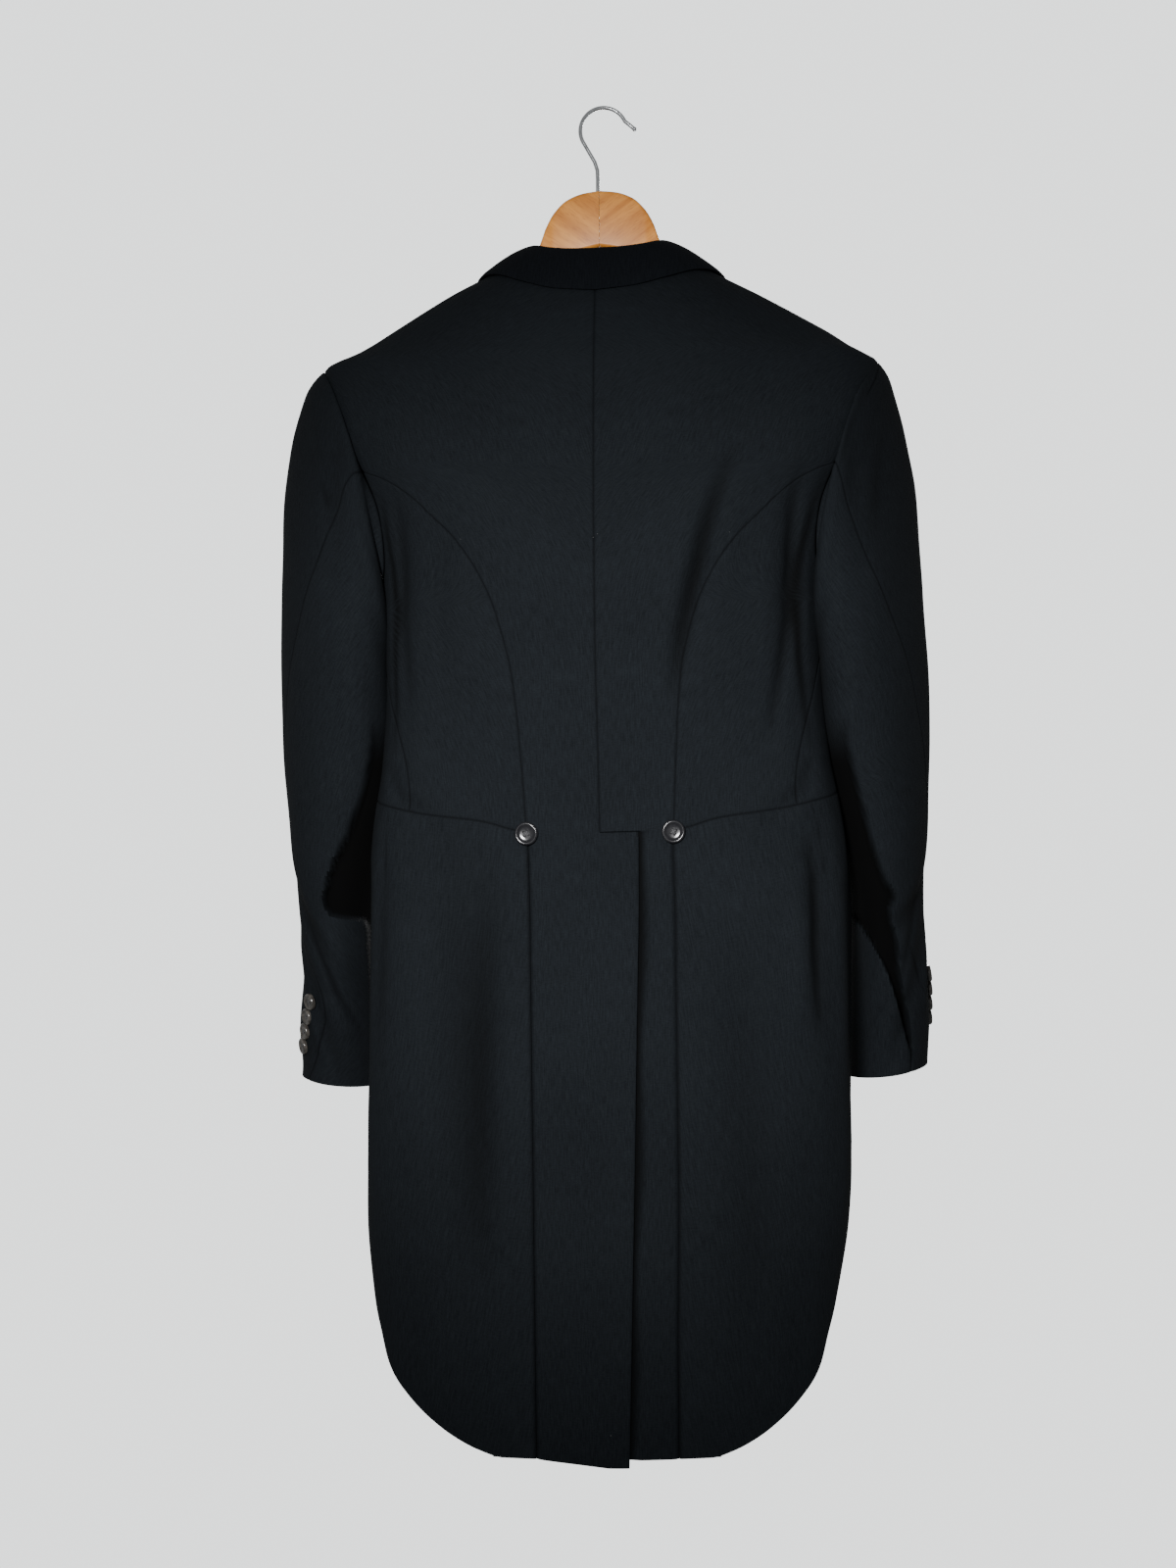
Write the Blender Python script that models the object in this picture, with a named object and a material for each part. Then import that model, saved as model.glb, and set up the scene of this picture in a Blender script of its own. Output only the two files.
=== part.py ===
"""A morning coat hanging on a wooden coat hanger. Metres, +Z up.

The origin lies under the top of the hanger's hook, where the hook bears on what holds it.
The coat's back faces +Y and its front faces -Y, so the wearer's left side is +X.
Every cloth piece is a wall on one of two surfaces: the body, whose level rings are squared
ovals, and the sleeve, whose rings run from the armhole down to the cuff.
"""

import math
from bisect import bisect_right

import bmesh
import bpy
from mathutils import Matrix, Vector
from mathutils.bvhtree import BVHTree

MM = 0.001

# Cloth, seams and laps
CLOTH = 1.8 * MM
SEAM_GAP = 0.3 * MM
WIDEST_PART = 0.5 * MM
HOLE_CLEAR = 0.4 * MM
SLEEVE_PART = {"left": 0.55 * MM, "right": 0.3 * MM}
# A cell is split along its first diagonal unless the other one is shorter by this much
SPLIT_BIAS = 1.03
TUCK = 2.6 * MM
LAP_LIFT = 0.3 * MM

# Heights, down from the hook
SHOULDER_Z = -0.222
UNDERARM_Z = -0.430
WAIST_Z = -0.618
NAPE_DIP = 0.019

# The level of each row of the bodice, from the neck to the waist seam
LEVELS = (
    -0.131, -0.146, -0.163, -0.181, -0.198, -0.211, SHOULDER_Z, -0.238, -0.259, -0.287,
    -0.317, -0.3215, -0.330, -0.346, -0.368, -0.390, -0.408, -0.421, UNDERARM_Z,
    -0.458, -0.488, -0.518, -0.548, -0.576, -0.598, WAIST_Z,
)
SHOULDER_ROW = 6
JUNCTION_ROW = 10
UNDERARM_ROW = 18
WAIST_ROW = len(LEVELS) - 1
SKIRT_ROWS = 14
SIDE_CELLS = 6
FRONT_CELLS = 12

# The turn of the body ring at which the shoulder seam lies, in degrees forward of the side
SHOULDER_SEAM = -4.0

# Back panel, pleat and vent, across from the centre
BACK_EDGE_X = 0.0605
PLEAT_EDGE_X = 0.0600
UNDERLAP_X = 0.096
UNDERLAP_DROP = 1.0 * MM
VENT_TOP_X = 0.0319
VENT_HEM_X = 0.0166
VENT_LEDGE_DROP = 4.0 * MM
VENT_UNDERLAP = 0.030
BACK_HEM_LEFT = -1.139
BACK_HEM_RIGHT = -1.1328
PLEAT_HEM = -1.1318

# Buttons: diameter, height
BACK_BUTTON = (19.5 * MM, 4.2 * MM)
FRONT_BUTTON = (20.0 * MM, 4.2 * MM)
FRONT_BUTTON_Z = -0.585
CUFF_BUTTON = (14.6 * MM, 3.6 * MM)
BUTTON_SEAT = 0.35 * MM
BUTTON_SIDES = 16
CUFF_BUTTONS = 4
CUFF_PITCH = 15.2 * MM

# Hanger
HALF_GAP = 0.15 * MM
HOOK_WIRE = 3.3 * MM
HOOK_RADIUS = 0.020
SHANK_X = 0.005
SHANK_FOOT_Z = -0.0702


def monotone_slopes(keys, values):
    """Slopes for a curve through the values that never passes beyond them."""
    runs = [(values[i + 1] - values[i]) / (keys[i + 1] - keys[i]) for i in range(len(keys) - 1)]
    slopes = [runs[0]]
    for before, after in zip(runs, runs[1:]):
        slopes.append(2 * before * after / (before + after) if before * after > 0 else 0.0)
    slopes.append(runs[-1])
    return slopes


class Table:
    """Rows of named columns, read along smooth curves by the first column."""

    def __init__(self, names, rows):
        ordered = sorted(rows)
        self.keys = [row[0] for row in ordered]
        self.values = {name: [row[i] for row in ordered] for i, name in enumerate(names)}
        self.slopes = {name: monotone_slopes(self.keys, self.values[name]) for name in names}

    def at(self, name, key):
        keys = self.keys
        key = min(max(key, keys[0]), keys[-1])
        i = min(bisect_right(keys, key) - 1, len(keys) - 2)
        step = keys[i + 1] - keys[i]
        t = (key - keys[i]) / step
        low, high = self.values[name][i], self.values[name][i + 1]
        rise, fall = self.slopes[name][i] * step, self.slopes[name][i + 1] * step
        return (
            low * (1 + 2 * t) * (1 - t) ** 2
            + rise * t * (1 - t) ** 2
            + high * t * t * (3 - 2 * t)
            - fall * t * t * (1 - t)
        )


# The body ring at each height: half of its width, its depth behind and before the shoulder
# line, and how square it is (2 is an oval)
BODY = Table(
    ("z", "half_width", "back", "front", "squareness"),
    (
        (-0.100, 0.060, 0.038, 0.040, 2.0),
        (-0.130, 0.074, 0.042, 0.046, 2.0),
        (-0.145, 0.097, 0.050, 0.050, 2.0),
        (-0.166, 0.136, 0.058, 0.056, 2.0),
        (-0.190, 0.178, 0.066, 0.063, 2.0),
        (-0.210, 0.212, 0.072, 0.068, 2.1),
        (-0.222, 0.235, 0.075, 0.070, 2.2),
        (-0.250, 0.2343, 0.080, 0.075, 2.4),
        (-0.286, 0.2266, 0.084, 0.079, 2.7),
        (-0.317, 0.2130, 0.086, 0.082, 2.9),
        (-0.360, 0.1980, 0.087, 0.083, 2.9),
        (-0.400, 0.1900, 0.086, 0.083, 2.8),
        (-0.430, 0.1875, 0.085, 0.082, 2.8),
        (-0.500, 0.1870, 0.081, 0.079, 2.7),
        (-0.560, 0.1920, 0.078, 0.077, 2.6),
        (-0.600, 0.1990, 0.078, 0.076, 2.6),
        (-0.640, 0.2045, 0.079, 0.076, 2.5),
        (-0.700, 0.2075, 0.080, 0.077, 2.5),
        (-0.840, 0.2080, 0.083, 0.079, 2.5),
        (-0.950, 0.2060, 0.084, 0.079, 2.5),
        (-1.040, 0.1990, 0.084, 0.079, 2.5),
        (-1.160, 0.1960, 0.084, 0.079, 2.5),
    ),
)

# How the hung coat leans: its fall for each metre towards the wearer's left, its shift
# sideways and its turn about the upright, all fading towards the hem
HANG = Table(
    ("z", "lean", "shift", "turn"),
    (
        (-1.160, 0.0, -0.0044, 0.0),
        (-0.900, 0.0, -0.0044, 2.2),
        (-0.700, 0.010, -0.0044, 4.2),
        (-0.600, 0.018, -0.0026, 5.0),
        (-0.450, 0.0245, 0.0006, 5.0),
        (-0.222, 0.0245, 0.0022, 5.0),
        (-0.060, 0.0245, 0.0036, 5.0),
    ),
)
SLEEVE_LEAN = 0.0245
# How much of its width the right side loses towards the hem
RIGHT_NARROWS = 0.035
RIGHT_FULL_Z = -0.900
RIGHT_NARROW_Z = -1.060

# The curved back seam and the side seam
BACK_SEAM = Table(
    ("z", "x"),
    (
        (-0.3170, 0.1966), (-0.3250, 0.1780), (-0.3405, 0.1547), (-0.3600, 0.1340),
        (-0.3790, 0.1150), (-0.4030, 0.0977), (-0.4270, 0.0857), (-0.4525, 0.0776),
        (-0.4800, 0.0711), (-0.5200, 0.0666), (-0.5600, 0.0638), (-0.6180, BACK_EDGE_X),
    ),
)
SIDE_SEAM = Table(
    ("z", "y"),
    (
        (-0.430, -0.006), (-0.460, 0.016), (-0.495, 0.033), (-0.525, 0.043),
        (-0.554, 0.050), (-0.580, 0.054), (-0.618, 0.056),
    ),
)
ARMHOLE = Table(
    ("z", "back_y", "front_y"),
    (
        (SHOULDER_Z, -0.0055, -0.0055),
        (-0.238, 0.0180, -0.0250),
        (-0.259, 0.0340, -0.0380),
        (-0.287, 0.0445, -0.0470),
        (-0.317, 0.0490, -0.0510),
        (-0.346, 0.0510, -0.0520),
        (-0.368, 0.0490, -0.0500),
        (-0.390, 0.0425, -0.0450),
        (-0.408, 0.0330, -0.0370),
        (-0.421, 0.0200, -0.0250),
        (UNDERARM_Z, -0.0060, -0.0060),
    ),
)
# The front's edge: the crease that the lapel turns back on, then the buttoned edge
FRONT_EDGE = Table(
    ("z", "x"),
    (
        (-0.131, 0.0620), (-0.150, 0.0620), (-0.250, 0.0455), (-0.400, 0.0210),
        (-0.520, 0.0015), (-0.560, -0.0060), (-0.585, -0.0120), (-0.640, -0.0120),
    ),
)
# The waist seam and the hem, by the turn round the body from the side towards the back
WAIST_SEAM = Table(
    ("turn", "z"),
    (
        (-95.0, -0.604), (-45.0, -0.594), (0.0, -0.588), (25.0, -0.592),
        (50.0, -0.602), (62.0, -0.607), (73.0, -0.6165), (90.0, WAIST_Z),
    ),
)
HEM = Table(
    ("turn", "z"),
    (
        (-97.0, -0.636), (-80.0, -0.652), (-70.0, -0.682), (-50.0, -0.765), (-30.0, -0.855),
        (-10.0, -0.945), (8.0, -1.000), (20.7, -1.036), (27.0, -1.062), (38.0, -1.0878),
        (45.7, -1.1037), (53.0, -1.1176), (59.0, -1.1262), (65.0, -1.1315), (75.0, PLEAT_HEM),
    ),
)
# The largest folds of the skirt: troughs that run down from the waist, each with its turn
# at the top and at the bottom, its width in degrees and its depth
SKIRT_FOLDS = {
    "left": (
        {"top": 55.0, "foot": 58.0, "from": -0.625, "to": -0.96, "width": 11.0, "depth": 4.0 * MM},
        {"top": 8.0, "foot": 2.0, "from": -0.640, "to": -0.90, "width": 13.0, "depth": 5.0 * MM},
    ),
    "right": (
        {"top": 36.0, "foot": 32.0, "from": -0.625, "to": -0.80, "width": 9.0, "depth": 5.0 * MM},
        {"top": 60.0, "foot": 55.0, "from": -0.700, "to": -1.05, "width": 10.0, "depth": 3.0 * MM},
    ),
}
# The collar, from the centre back round to its front end: the fold, the lower edge on the
# body, and where the stand is sewn to the neck
COLLAR = Table(
    ("along", "fold_x", "fold_y", "fold_z", "edge_turn", "edge_z", "neck_turn"),
    (
        (0.00, 0.0000, 0.0460, -0.1293, 90.0, -0.1684, 90.0),
        (0.16, 0.0200, 0.0445, -0.1285, 78.0, -0.1658, 72.0),
        (0.32, 0.0380, 0.0385, -0.1255, 60.0, -0.1575, 52.0),
        (0.48, 0.0515, 0.0260, -0.1205, 37.0, -0.1495, 30.0),
        (0.62, 0.0580, 0.0110, -0.1180, 18.0, -0.1475, 12.0),
        (0.76, 0.0605, -0.0090, -0.1215, -5.0, -0.1500, -6.0),
        (0.90, 0.0618, -0.0325, -0.1315, -27.0, -0.1590, -22.0),
        (1.00, 0.0630, -0.0442, -0.1481, -42.0, -0.1700, -33.0),
    ),
)
COLLAR_CELLS = 10
FALL_CELLS = 4
STAND_CELLS = 2
FALL_LIFT = 3.6 * MM
FALL_BULGE = 3.0 * MM
STAND_DEPTH = 1.5 * MM
STAND_INSET = 3.0 * MM
STAND_CLEAR = 1.6 * MM
STAND_REACH = 0.76

# The lapel's outer edge, from its peak down to where it meets the crease
LAPEL_TOP_Z = -0.152
LAPEL_FOOT_Z = -0.515
LAPEL = Table(
    ("down", "x", "z"),
    (
        (0.00, 0.1260, -0.1900),
        (0.08, 0.1265, -0.1960),
        (0.20, 0.1180, -0.2250),
        (0.40, 0.0960, -0.3000),
        (0.60, 0.0700, -0.3750),
        (0.80, 0.0400, -0.4500),
        (1.00, 0.0050, -0.5170),
    ),
)
LAPEL_ROWS = 14
LAPEL_CELLS = 5
LAPEL_CREASE_LIFT = 0.8 * MM
LAPEL_LIFT = 1.5 * MM
LAPEL_ROLL = 2.0 * MM

# Sleeve rings below the armhole: the outermost and innermost points, the middle and half of
# the depth from front to back, how far the rear leans in to the body, and the turn at which
# the rear seam lies (0 is the back of the arm, 90 its outer side) on each arm
SLEEVE = Table(
    ("ring", "outer_x", "outer_z", "inner_x", "inner_z", "middle_y", "half_deep", "skew",
     "left_seam", "right_seam"),
    (
        (1.0, 0.2385, -0.2235, 0.1925, -0.4300, -0.003, 0.060, 0.000, 5.0, 5.0),
        (2.0, 0.2455, -0.2400, 0.1935, -0.4330, -0.005, 0.065, 0.004, 10.0, 10.0),
        (3.0, 0.2520, -0.2680, 0.1945, -0.4410, -0.008, 0.070, 0.012, 18.0, 20.0),
        (4.0, 0.2575, -0.3050, 0.1950, -0.4520, -0.012, 0.074, 0.020, 26.0, 33.0),
        (5.0, 0.2620, -0.3520, 0.1965, -0.4700, -0.017, 0.077, 0.022, 35.0, 48.0),
        (6.0, 0.2670, -0.4080, 0.1970, -0.4980, -0.022, 0.079, 0.018, 46.0, 64.0),
        (7.0, 0.2730, -0.4750, 0.1975, -0.5400, -0.030, 0.079, 0.011, 62.0, 76.0),
        (8.0, 0.2765, -0.5450, 0.2000, -0.5900, -0.041, 0.077, 0.005, 77.0, 84.0),
        (9.0, 0.2775, -0.6100, 0.2040, -0.6380, -0.053, 0.073, 0.001, 84.0, 86.0),
        (10.0, 0.2770, -0.6650, 0.2080, -0.6850, -0.066, 0.069, 0.000, 76.0, 78.0),
        (11.0, 0.2765, -0.7150, 0.2090, -0.7300, -0.079, 0.066, 0.000, 50.0, 74.0),
        (12.0, 0.2790, -0.7600, 0.2100, -0.7720, -0.090, 0.063, 0.000, 23.0, 82.0),
        (13.0, 0.2810, -0.8000, 0.2105, -0.8100, -0.098, 0.061, 0.000, 24.0, 86.0),
        (14.0, 0.2795, -0.8330, 0.2110, -0.8430, -0.103, 0.060, 0.000, 44.0, 88.0),
    ),
)
# How much further out each arm hangs than that, by ring, on its outer and its inner side
ARM_SPREAD = Table(
    ("ring", "left_outer", "left_inner", "right_outer", "right_inner"),
    (
        (3.0, 0.0, 0.0, 0.0, 0.0),
        (5.0, 0.003, 0.002, 0.001, 0.0),
        (7.0, 0.007, 0.006, 0.000, 0.000),
        (8.0, 0.009, 0.007, -0.001, 0.001),
        (9.0, 0.008, 0.006, -0.003, 0.001),
        (10.0, 0.005, 0.003, -0.005, 0.002),
        (11.0, 0.001, 0.000, -0.005, 0.002),
        (12.0, 0.000, 0.000, -0.002, 0.001),
        (14.0, 0.000, 0.000, 0.000, 0.000),
    ),
)
SLEEVE_RINGS = 14
SLEEVE_SETTLES = 5
REAR_SEAM = JUNCTION_ROW - SHOULDER_ROW
RING_POINTS = 2 * (UNDERARM_ROW - SHOULDER_ROW)
FORE_SEAM = RING_POINTS - 8

# The cuff buttons stand beside the rear seam, on the outer side, from this ring down
RING_STEP = 0.01
CUFF_ROW = {
    "left": {"ring": 12.0, "beyond_seam": 9.0, "drift": 4.5},
    "right": {"ring": 11.85, "beyond_seam": 9.0, "drift": 2.0},
}

# The wooden hanger from its middle to the tip: top edge, height and half of the thickness
WOOD = Table(
    ("x", "top_z", "height", "half_thick", "forward"),
    (
        (0.0000, -0.0705, 0.0480, 0.0062, 0.000),
        (0.0140, -0.0722, 0.0490, 0.0062, 0.000),
        (0.0280, -0.0775, 0.0500, 0.0064, 0.000),
        (0.0390, -0.0880, 0.0480, 0.0068, 0.000),
        (0.0460, -0.1000, 0.0430, 0.0072, 0.001),
        (0.0510, -0.1140, 0.0370, 0.0076, 0.001),
        (0.0580, -0.1300, 0.0320, 0.0084, 0.002),
        (0.0720, -0.1395, 0.0340, 0.0096, 0.003),
        (0.1000, -0.1508, 0.0330, 0.0120, 0.003),
        (0.1360, -0.1700, 0.0300, 0.0150, 0.003),
        (0.1780, -0.1940, 0.0260, 0.0175, 0.002),
        (0.2050, -0.2100, 0.0210, 0.0170, 0.002),
        (0.2180, -0.2200, 0.0130, 0.0130, 0.002),
    ),
)
WOOD_SIDES = 12

FINISHES = {
    "wool": ((0.012, 0.013, 0.014, 1.0), 0.85, 0.0),
    "wool_collar": ((0.011, 0.012, 0.013, 1.0), 0.85, 0.0),
    "horn_black": ((0.012, 0.012, 0.013, 1.0), 0.30, 0.0),
    "horn_grey": ((0.060, 0.055, 0.050, 1.0), 0.35, 0.0),
    "beech": ((0.52, 0.28, 0.12, 1.0), 0.45, 0.0),
    "chrome": ((0.62, 0.63, 0.64, 1.0), 0.15, 1.0),
}


def ease(value, start, end):
    """Goes smoothly from 0 at start to 1 at end."""
    t = min(max((value - start) / (end - start), 0.0), 1.0)
    return t * t * (3 - 2 * t)


def body_point(turn, z):
    """A point of the body ring; the turn is 0 at the left side and 90 at the centre back."""
    c = math.cos(math.radians(turn))
    s = math.sin(math.radians(turn))
    n = BODY.at("squareness", z)
    reach = (abs(c) ** n + abs(s) ** n) ** (-1 / n)
    depth = BODY.at("back" if s >= 0 else "front", z)
    return Vector((BODY.at("half_width", z) * c * reach, depth * s * reach, z))


def body_normal(turn, z):
    across = body_point(turn + 0.5, z) - body_point(turn - 0.5, z)
    down = body_point(turn, z - MM) - body_point(turn, z + MM)
    return down.cross(across).normalized()


def on_body(turn, z, out=0.0):
    return body_point(turn, z) + body_normal(turn, z) * out


def turn_at_x(x, z, front=False):
    n = BODY.at("squareness", z)
    u = min(max(x / BODY.at("half_width", z), -1.0), 1.0)
    v = (1 - abs(u) ** n) ** (1 / n)
    return math.degrees(math.atan2(-v if front else v, u))


def turn_at_y(y, z):
    n = BODY.at("squareness", z)
    v = y / BODY.at("back" if y >= 0 else "front", z)
    return math.degrees(math.atan2(v, (1 - abs(v) ** n) ** (1 / n)))


def nudged(turn, z, distance):
    """The turn that lies this far along the ring."""
    run = (body_point(turn + 0.5, z) - body_point(turn - 0.5, z)).length
    return turn + distance / run


def row_height(level, turn):
    """The height of a bodice row, bent to the neckline at its top and the waist seam below."""
    if level > SHOULDER_Z:
        dip = NAPE_DIP * max(math.sin(math.radians(turn)), 0.0) ** 2
        return level - dip * (level - SHOULDER_Z) / (LEVELS[0] - SHOULDER_Z)
    if level < UNDERARM_Z:
        drop = WAIST_SEAM.at("z", min(turn, 90.0)) - WAIST_Z
        return level + drop * (UNDERARM_Z - level) / (UNDERARM_Z - WAIST_Z)
    return level


def seam_turn(level, turn_at):
    """The turn at which a row meets a seam whose turn is known by height."""
    turn = turn_at(level)
    for _ in range(8):
        turn = turn_at(row_height(level, turn))
    return turn


def back_seam_turn(level):
    return seam_turn(level, lambda z: turn_at_x(BACK_SEAM.at("x", z), z))


def side_seam_turn(level):
    return seam_turn(level, lambda z: turn_at_y(SIDE_SEAM.at("y", z), z))


def armhole_turn(level, edge):
    return seam_turn(level, lambda z: turn_at_y(ARMHOLE.at(edge, z), z))


def front_edge_turn(level):
    return seam_turn(level, lambda z: turn_at_x(FRONT_EDGE.at("x", z), z, front=True))


def fold_depth(side, turn, z):
    """How far the skirt's folds sink it at a point."""
    depth = 0.0
    for fold in SKIRT_FOLDS[side]:
        t = (fold["from"] - z) / (fold["from"] - fold["to"])
        if 0 < t < 1:
            middle = fold["top"] + (fold["foot"] - fold["top"]) * t
            near = math.exp(-(((turn - middle) / fold["width"]) ** 2))
            depth += fold["depth"] * near * math.sin(math.pi * t ** 0.7)
    return depth


def front_tuck(side, turn, z):
    """The right front lies under the left one where they cross."""
    if side == "left":
        return 0.0
    x = body_point(turn, z).x
    if turn > 0:
        return 0.0
    return TUCK * ease(x, 0.052, 0.028) * ease(z, -0.455, -0.500)


def hang(point, side, sleeve=False):
    """Puts a point of the left half on its side, and leans and turns it as the coat hangs."""
    z = point.z
    x = point.x
    if side == "right":
        x *= RIGHT_NARROWS * ease(z, RIGHT_FULL_Z, RIGHT_NARROW_Z) - 1.0
    lean = SLEEVE_LEAN if sleeve else HANG.at("lean", z)
    turn = math.radians(HANG.at("turn", z))
    return Vector((
        x * math.cos(turn) + point.y * math.sin(turn) + HANG.at("shift", z),
        point.y * math.cos(turn) - x * math.sin(turn),
        z - lean * x,
    ))


def finish(name):
    """The plain material of a piece."""
    material = bpy.data.materials.get(name)
    if material:
        return material
    colour, roughness, metallic = FINISHES[name]
    material = bpy.data.materials.new(name)
    material.use_nodes = True
    shader = material.node_tree.nodes["Principled BSDF"]
    shader.inputs["Base Color"].default_value = colour
    shader.inputs["Roughness"].default_value = roughness
    shader.inputs["Metallic"].default_value = metallic
    return material


def add_mesh(name, finish_name, points, faces):
    """A closed mesh object with its faces turned outwards."""
    mesh = bpy.data.meshes.new(name)
    mesh.from_pydata([tuple(point) for point in points], [], faces)
    shape = bmesh.new()
    shape.from_mesh(mesh)
    bmesh.ops.recalc_face_normals(shape, faces=shape.faces)
    shape.to_mesh(mesh)
    shape.free()
    mesh.materials.append(finish(finish_name))
    mesh.shade_smooth()
    mesh.set_sharp_from_angle(angle=math.radians(50))
    thing = bpy.data.objects.new(name, mesh)
    COAT.objects.link(thing)
    return thing


def add_wall(name, finish_name, cells, outer, inner):
    """A wall of cloth over the cells of a grid, closed by a rim round its edge.

    A cell is named by its upper row and its lower-numbered column. outer and inner give
    the points of the two faces by row and column.
    """
    index = {}
    points = []
    faces = []

    def corner(face, row, column):
        key = (face, row, column)
        if key not in index:
            index[key] = len(points)
            points.append((outer if face else inner)[row, column])
        return index[key]

    for row, column in sorted(cells):
        ring = ((row, column), (row + 1, column), (row + 1, column + 1), (row, column + 1))
        # Both faces of a cell are split along the same diagonal, so they never meet
        first = (outer[ring[0]] - outer[ring[2]]).length
        second = (outer[ring[1]] - outer[ring[3]]).length
        halves = ((0, 1, 2), (0, 2, 3)) if first < second * SPLIT_BIAS else ((0, 1, 3), (1, 2, 3))
        for half in halves:
            faces.append([corner(1, *ring[k]) for k in half])
            faces.append([corner(0, *ring[k]) for k in reversed(half)])
        beside = ((row, column - 1), (row + 1, column), (row, column + 1), (row - 1, column))
        for k, neighbour in enumerate(beside):
            if neighbour not in cells:
                a, b = ring[k], ring[(k + 1) % 4]
                faces.append([corner(1, *b), corner(1, *a), corner(0, *a), corner(0, *b)])
    return add_mesh(name, finish_name, points, faces)


def grid_cells(rows, columns):
    return {(row, column) for row in rows for column in columns}


def body_wall(name, finish_name, side, cells, places):
    """A wall on the body. places gives (turn, z, out) by row and column."""
    outer = {}
    inner = {}
    for place, (turn, z, out) in places.items():
        sunk = out - fold_depth(side, turn, z) - front_tuck(side, turn, z)
        outer[place] = hang(on_body(turn, z, sunk), side)
        inner[place] = hang(on_body(turn, z, sunk - CLOTH), side)
    return add_wall(name, finish_name, cells, outer, inner)


def parted(edge, row, rows, way):
    """The turn of a panel's edge on a row, drawn back from the seam by half of its gap,
    and by more where the seam runs across the rows."""
    turn = edge(row)
    z = row_height(LEVELS[row], turn)
    steepest = 0.0
    for other in (row - 1, row + 1):
        if other in rows and 0 <= other < len(LEVELS):
            ahead = edge(other)
            there = body_point(ahead, row_height(LEVELS[other], ahead))
            here = body_point(turn, z)
            run = math.hypot(there.x - here.x, there.y - here.y)
            steepest = max(steepest, run / abs(there.z - here.z))
    return nudged(turn, z, way * min(SEAM_GAP / 2 * math.hypot(1.0, steepest), WIDEST_PART))


def bodice_places(rows, cells, start, end):
    """Evenly spread columns between two edges, each parted from its seam."""
    places = {}
    for row in rows:
        level = LEVELS[row]
        first = parted(start, row, rows, -1)
        last = parted(end, row, rows, 1)
        for column in range(cells + 1):
            turn = first + (last - first) * column / cells
            places[row, column] = (turn, row_height(level, turn), 0.0)
    return places


def back_outer_edge(row):
    level = LEVELS[row]
    if row < SHOULDER_ROW:
        return SHOULDER_SEAM
    if row < JUNCTION_ROW:
        return armhole_turn(level, "back_y")
    return back_seam_turn(level)


def side_outer_edge(row):
    level = LEVELS[row]
    if row < UNDERARM_ROW:
        return armhole_turn(level, "back_y")
    return side_seam_turn(level)


def front_rear_edge(row):
    level = LEVELS[row]
    if row < SHOULDER_ROW:
        return SHOULDER_SEAM
    if row < UNDERARM_ROW:
        return armhole_turn(level, "front_y")
    return side_seam_turn(level)


def vent_x(down):
    """The vent's edge, from the waist to the hem."""
    return VENT_TOP_X + (VENT_HEM_X - VENT_TOP_X) * down


def back_columns(side, down):
    """The across positions of a back panel's columns: (x, out), first the lap over or under
    at the vent, then the panel, then the lap under the pleat."""
    vent = vent_x(down)
    pleat = [(0.0525, 0.0), (BACK_EDGE_X - SEAM_GAP / 2, -TUCK)]
    under = [(0.078, -TUCK), (UNDERLAP_X, -TUCK)]
    if side == "left":
        lap = [(-vent, LAP_LIFT), (-vent * 0.5, LAP_LIFT)]
        panel = [(SEAM_GAP / 2, 0.0), (0.009, 0.0), (0.018, 0.0), (0.027, 0.0), (0.036, 0.0), (0.045, 0.0)]
    else:
        lap = [(-VENT_UNDERLAP, -TUCK), (-VENT_UNDERLAP * 0.5, -TUCK)]
        panel = [
            (SEAM_GAP / 2, -TUCK), (vent * 0.35, -TUCK), (vent * 0.7, -TUCK),
            (vent + MM, -TUCK), (vent + 0.0055, -TUCK / 2), (vent + 0.0105, 0.0),
        ]
    return lap + panel + pleat + under


LAP_COLUMNS = 2
PANEL_CELLS = 7
UNDER_CELLS = 2


def make_back(side):
    """A back panel, cut in one from the neck to the tail's hem, with its vent and pleat laps."""
    places = {}
    shape = back_columns(side, 0.0)[LAP_COLUMNS:LAP_COLUMNS + PANEL_CELLS + 1]
    spread = [(x - shape[0][0]) / (shape[-1][0] - shape[0][0]) for x, _ in shape]
    for row in range(WAIST_ROW):
        level = LEVELS[row]
        last = parted(back_outer_edge, row, range(WAIST_ROW + 1), 1)
        first = nudged(90.0, row_height(level, 90.0), -SEAM_GAP / 2)
        settled = ease(level, UNDERARM_Z, WAIST_Z)
        for column, part in enumerate(spread):
            even = column / PANEL_CELLS
            turn = first + (last - first) * (even + (part - even) * settled)
            places[row, LAP_COLUMNS + column] = (turn, row_height(level, turn), 0.0)
    hem_middle = BACK_HEM_LEFT if side == "left" else BACK_HEM_RIGHT
    for step in range(SKIRT_ROWS + 1):
        down = step / SKIRT_ROWS
        for column, (x, out) in enumerate(back_columns(side, down)):
            foot = hem_middle + (PLEAT_HEM - hem_middle) * min(max(x / BACK_EDGE_X, 0.0), 1.0)
            head = WAIST_Z
            if column < LAP_COLUMNS:
                head -= VENT_LEDGE_DROP * (1 - column / LAP_COLUMNS)
            if column > LAP_COLUMNS + PANEL_CELLS:
                head -= UNDERLAP_DROP
            z = head + (foot - head) * down
            places[WAIST_ROW + step, column] = (turn_at_x(x, z), z, out)
    skirt_rows = range(WAIST_ROW, WAIST_ROW + SKIRT_ROWS)
    panel = range(LAP_COLUMNS, LAP_COLUMNS + PANEL_CELLS)
    cells = grid_cells(range(WAIST_ROW), panel)
    cells |= grid_cells(skirt_rows, range(LAP_COLUMNS + PANEL_CELLS + UNDER_CELLS))
    body_wall("back_" + side, "wool", side, cells, places)


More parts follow.
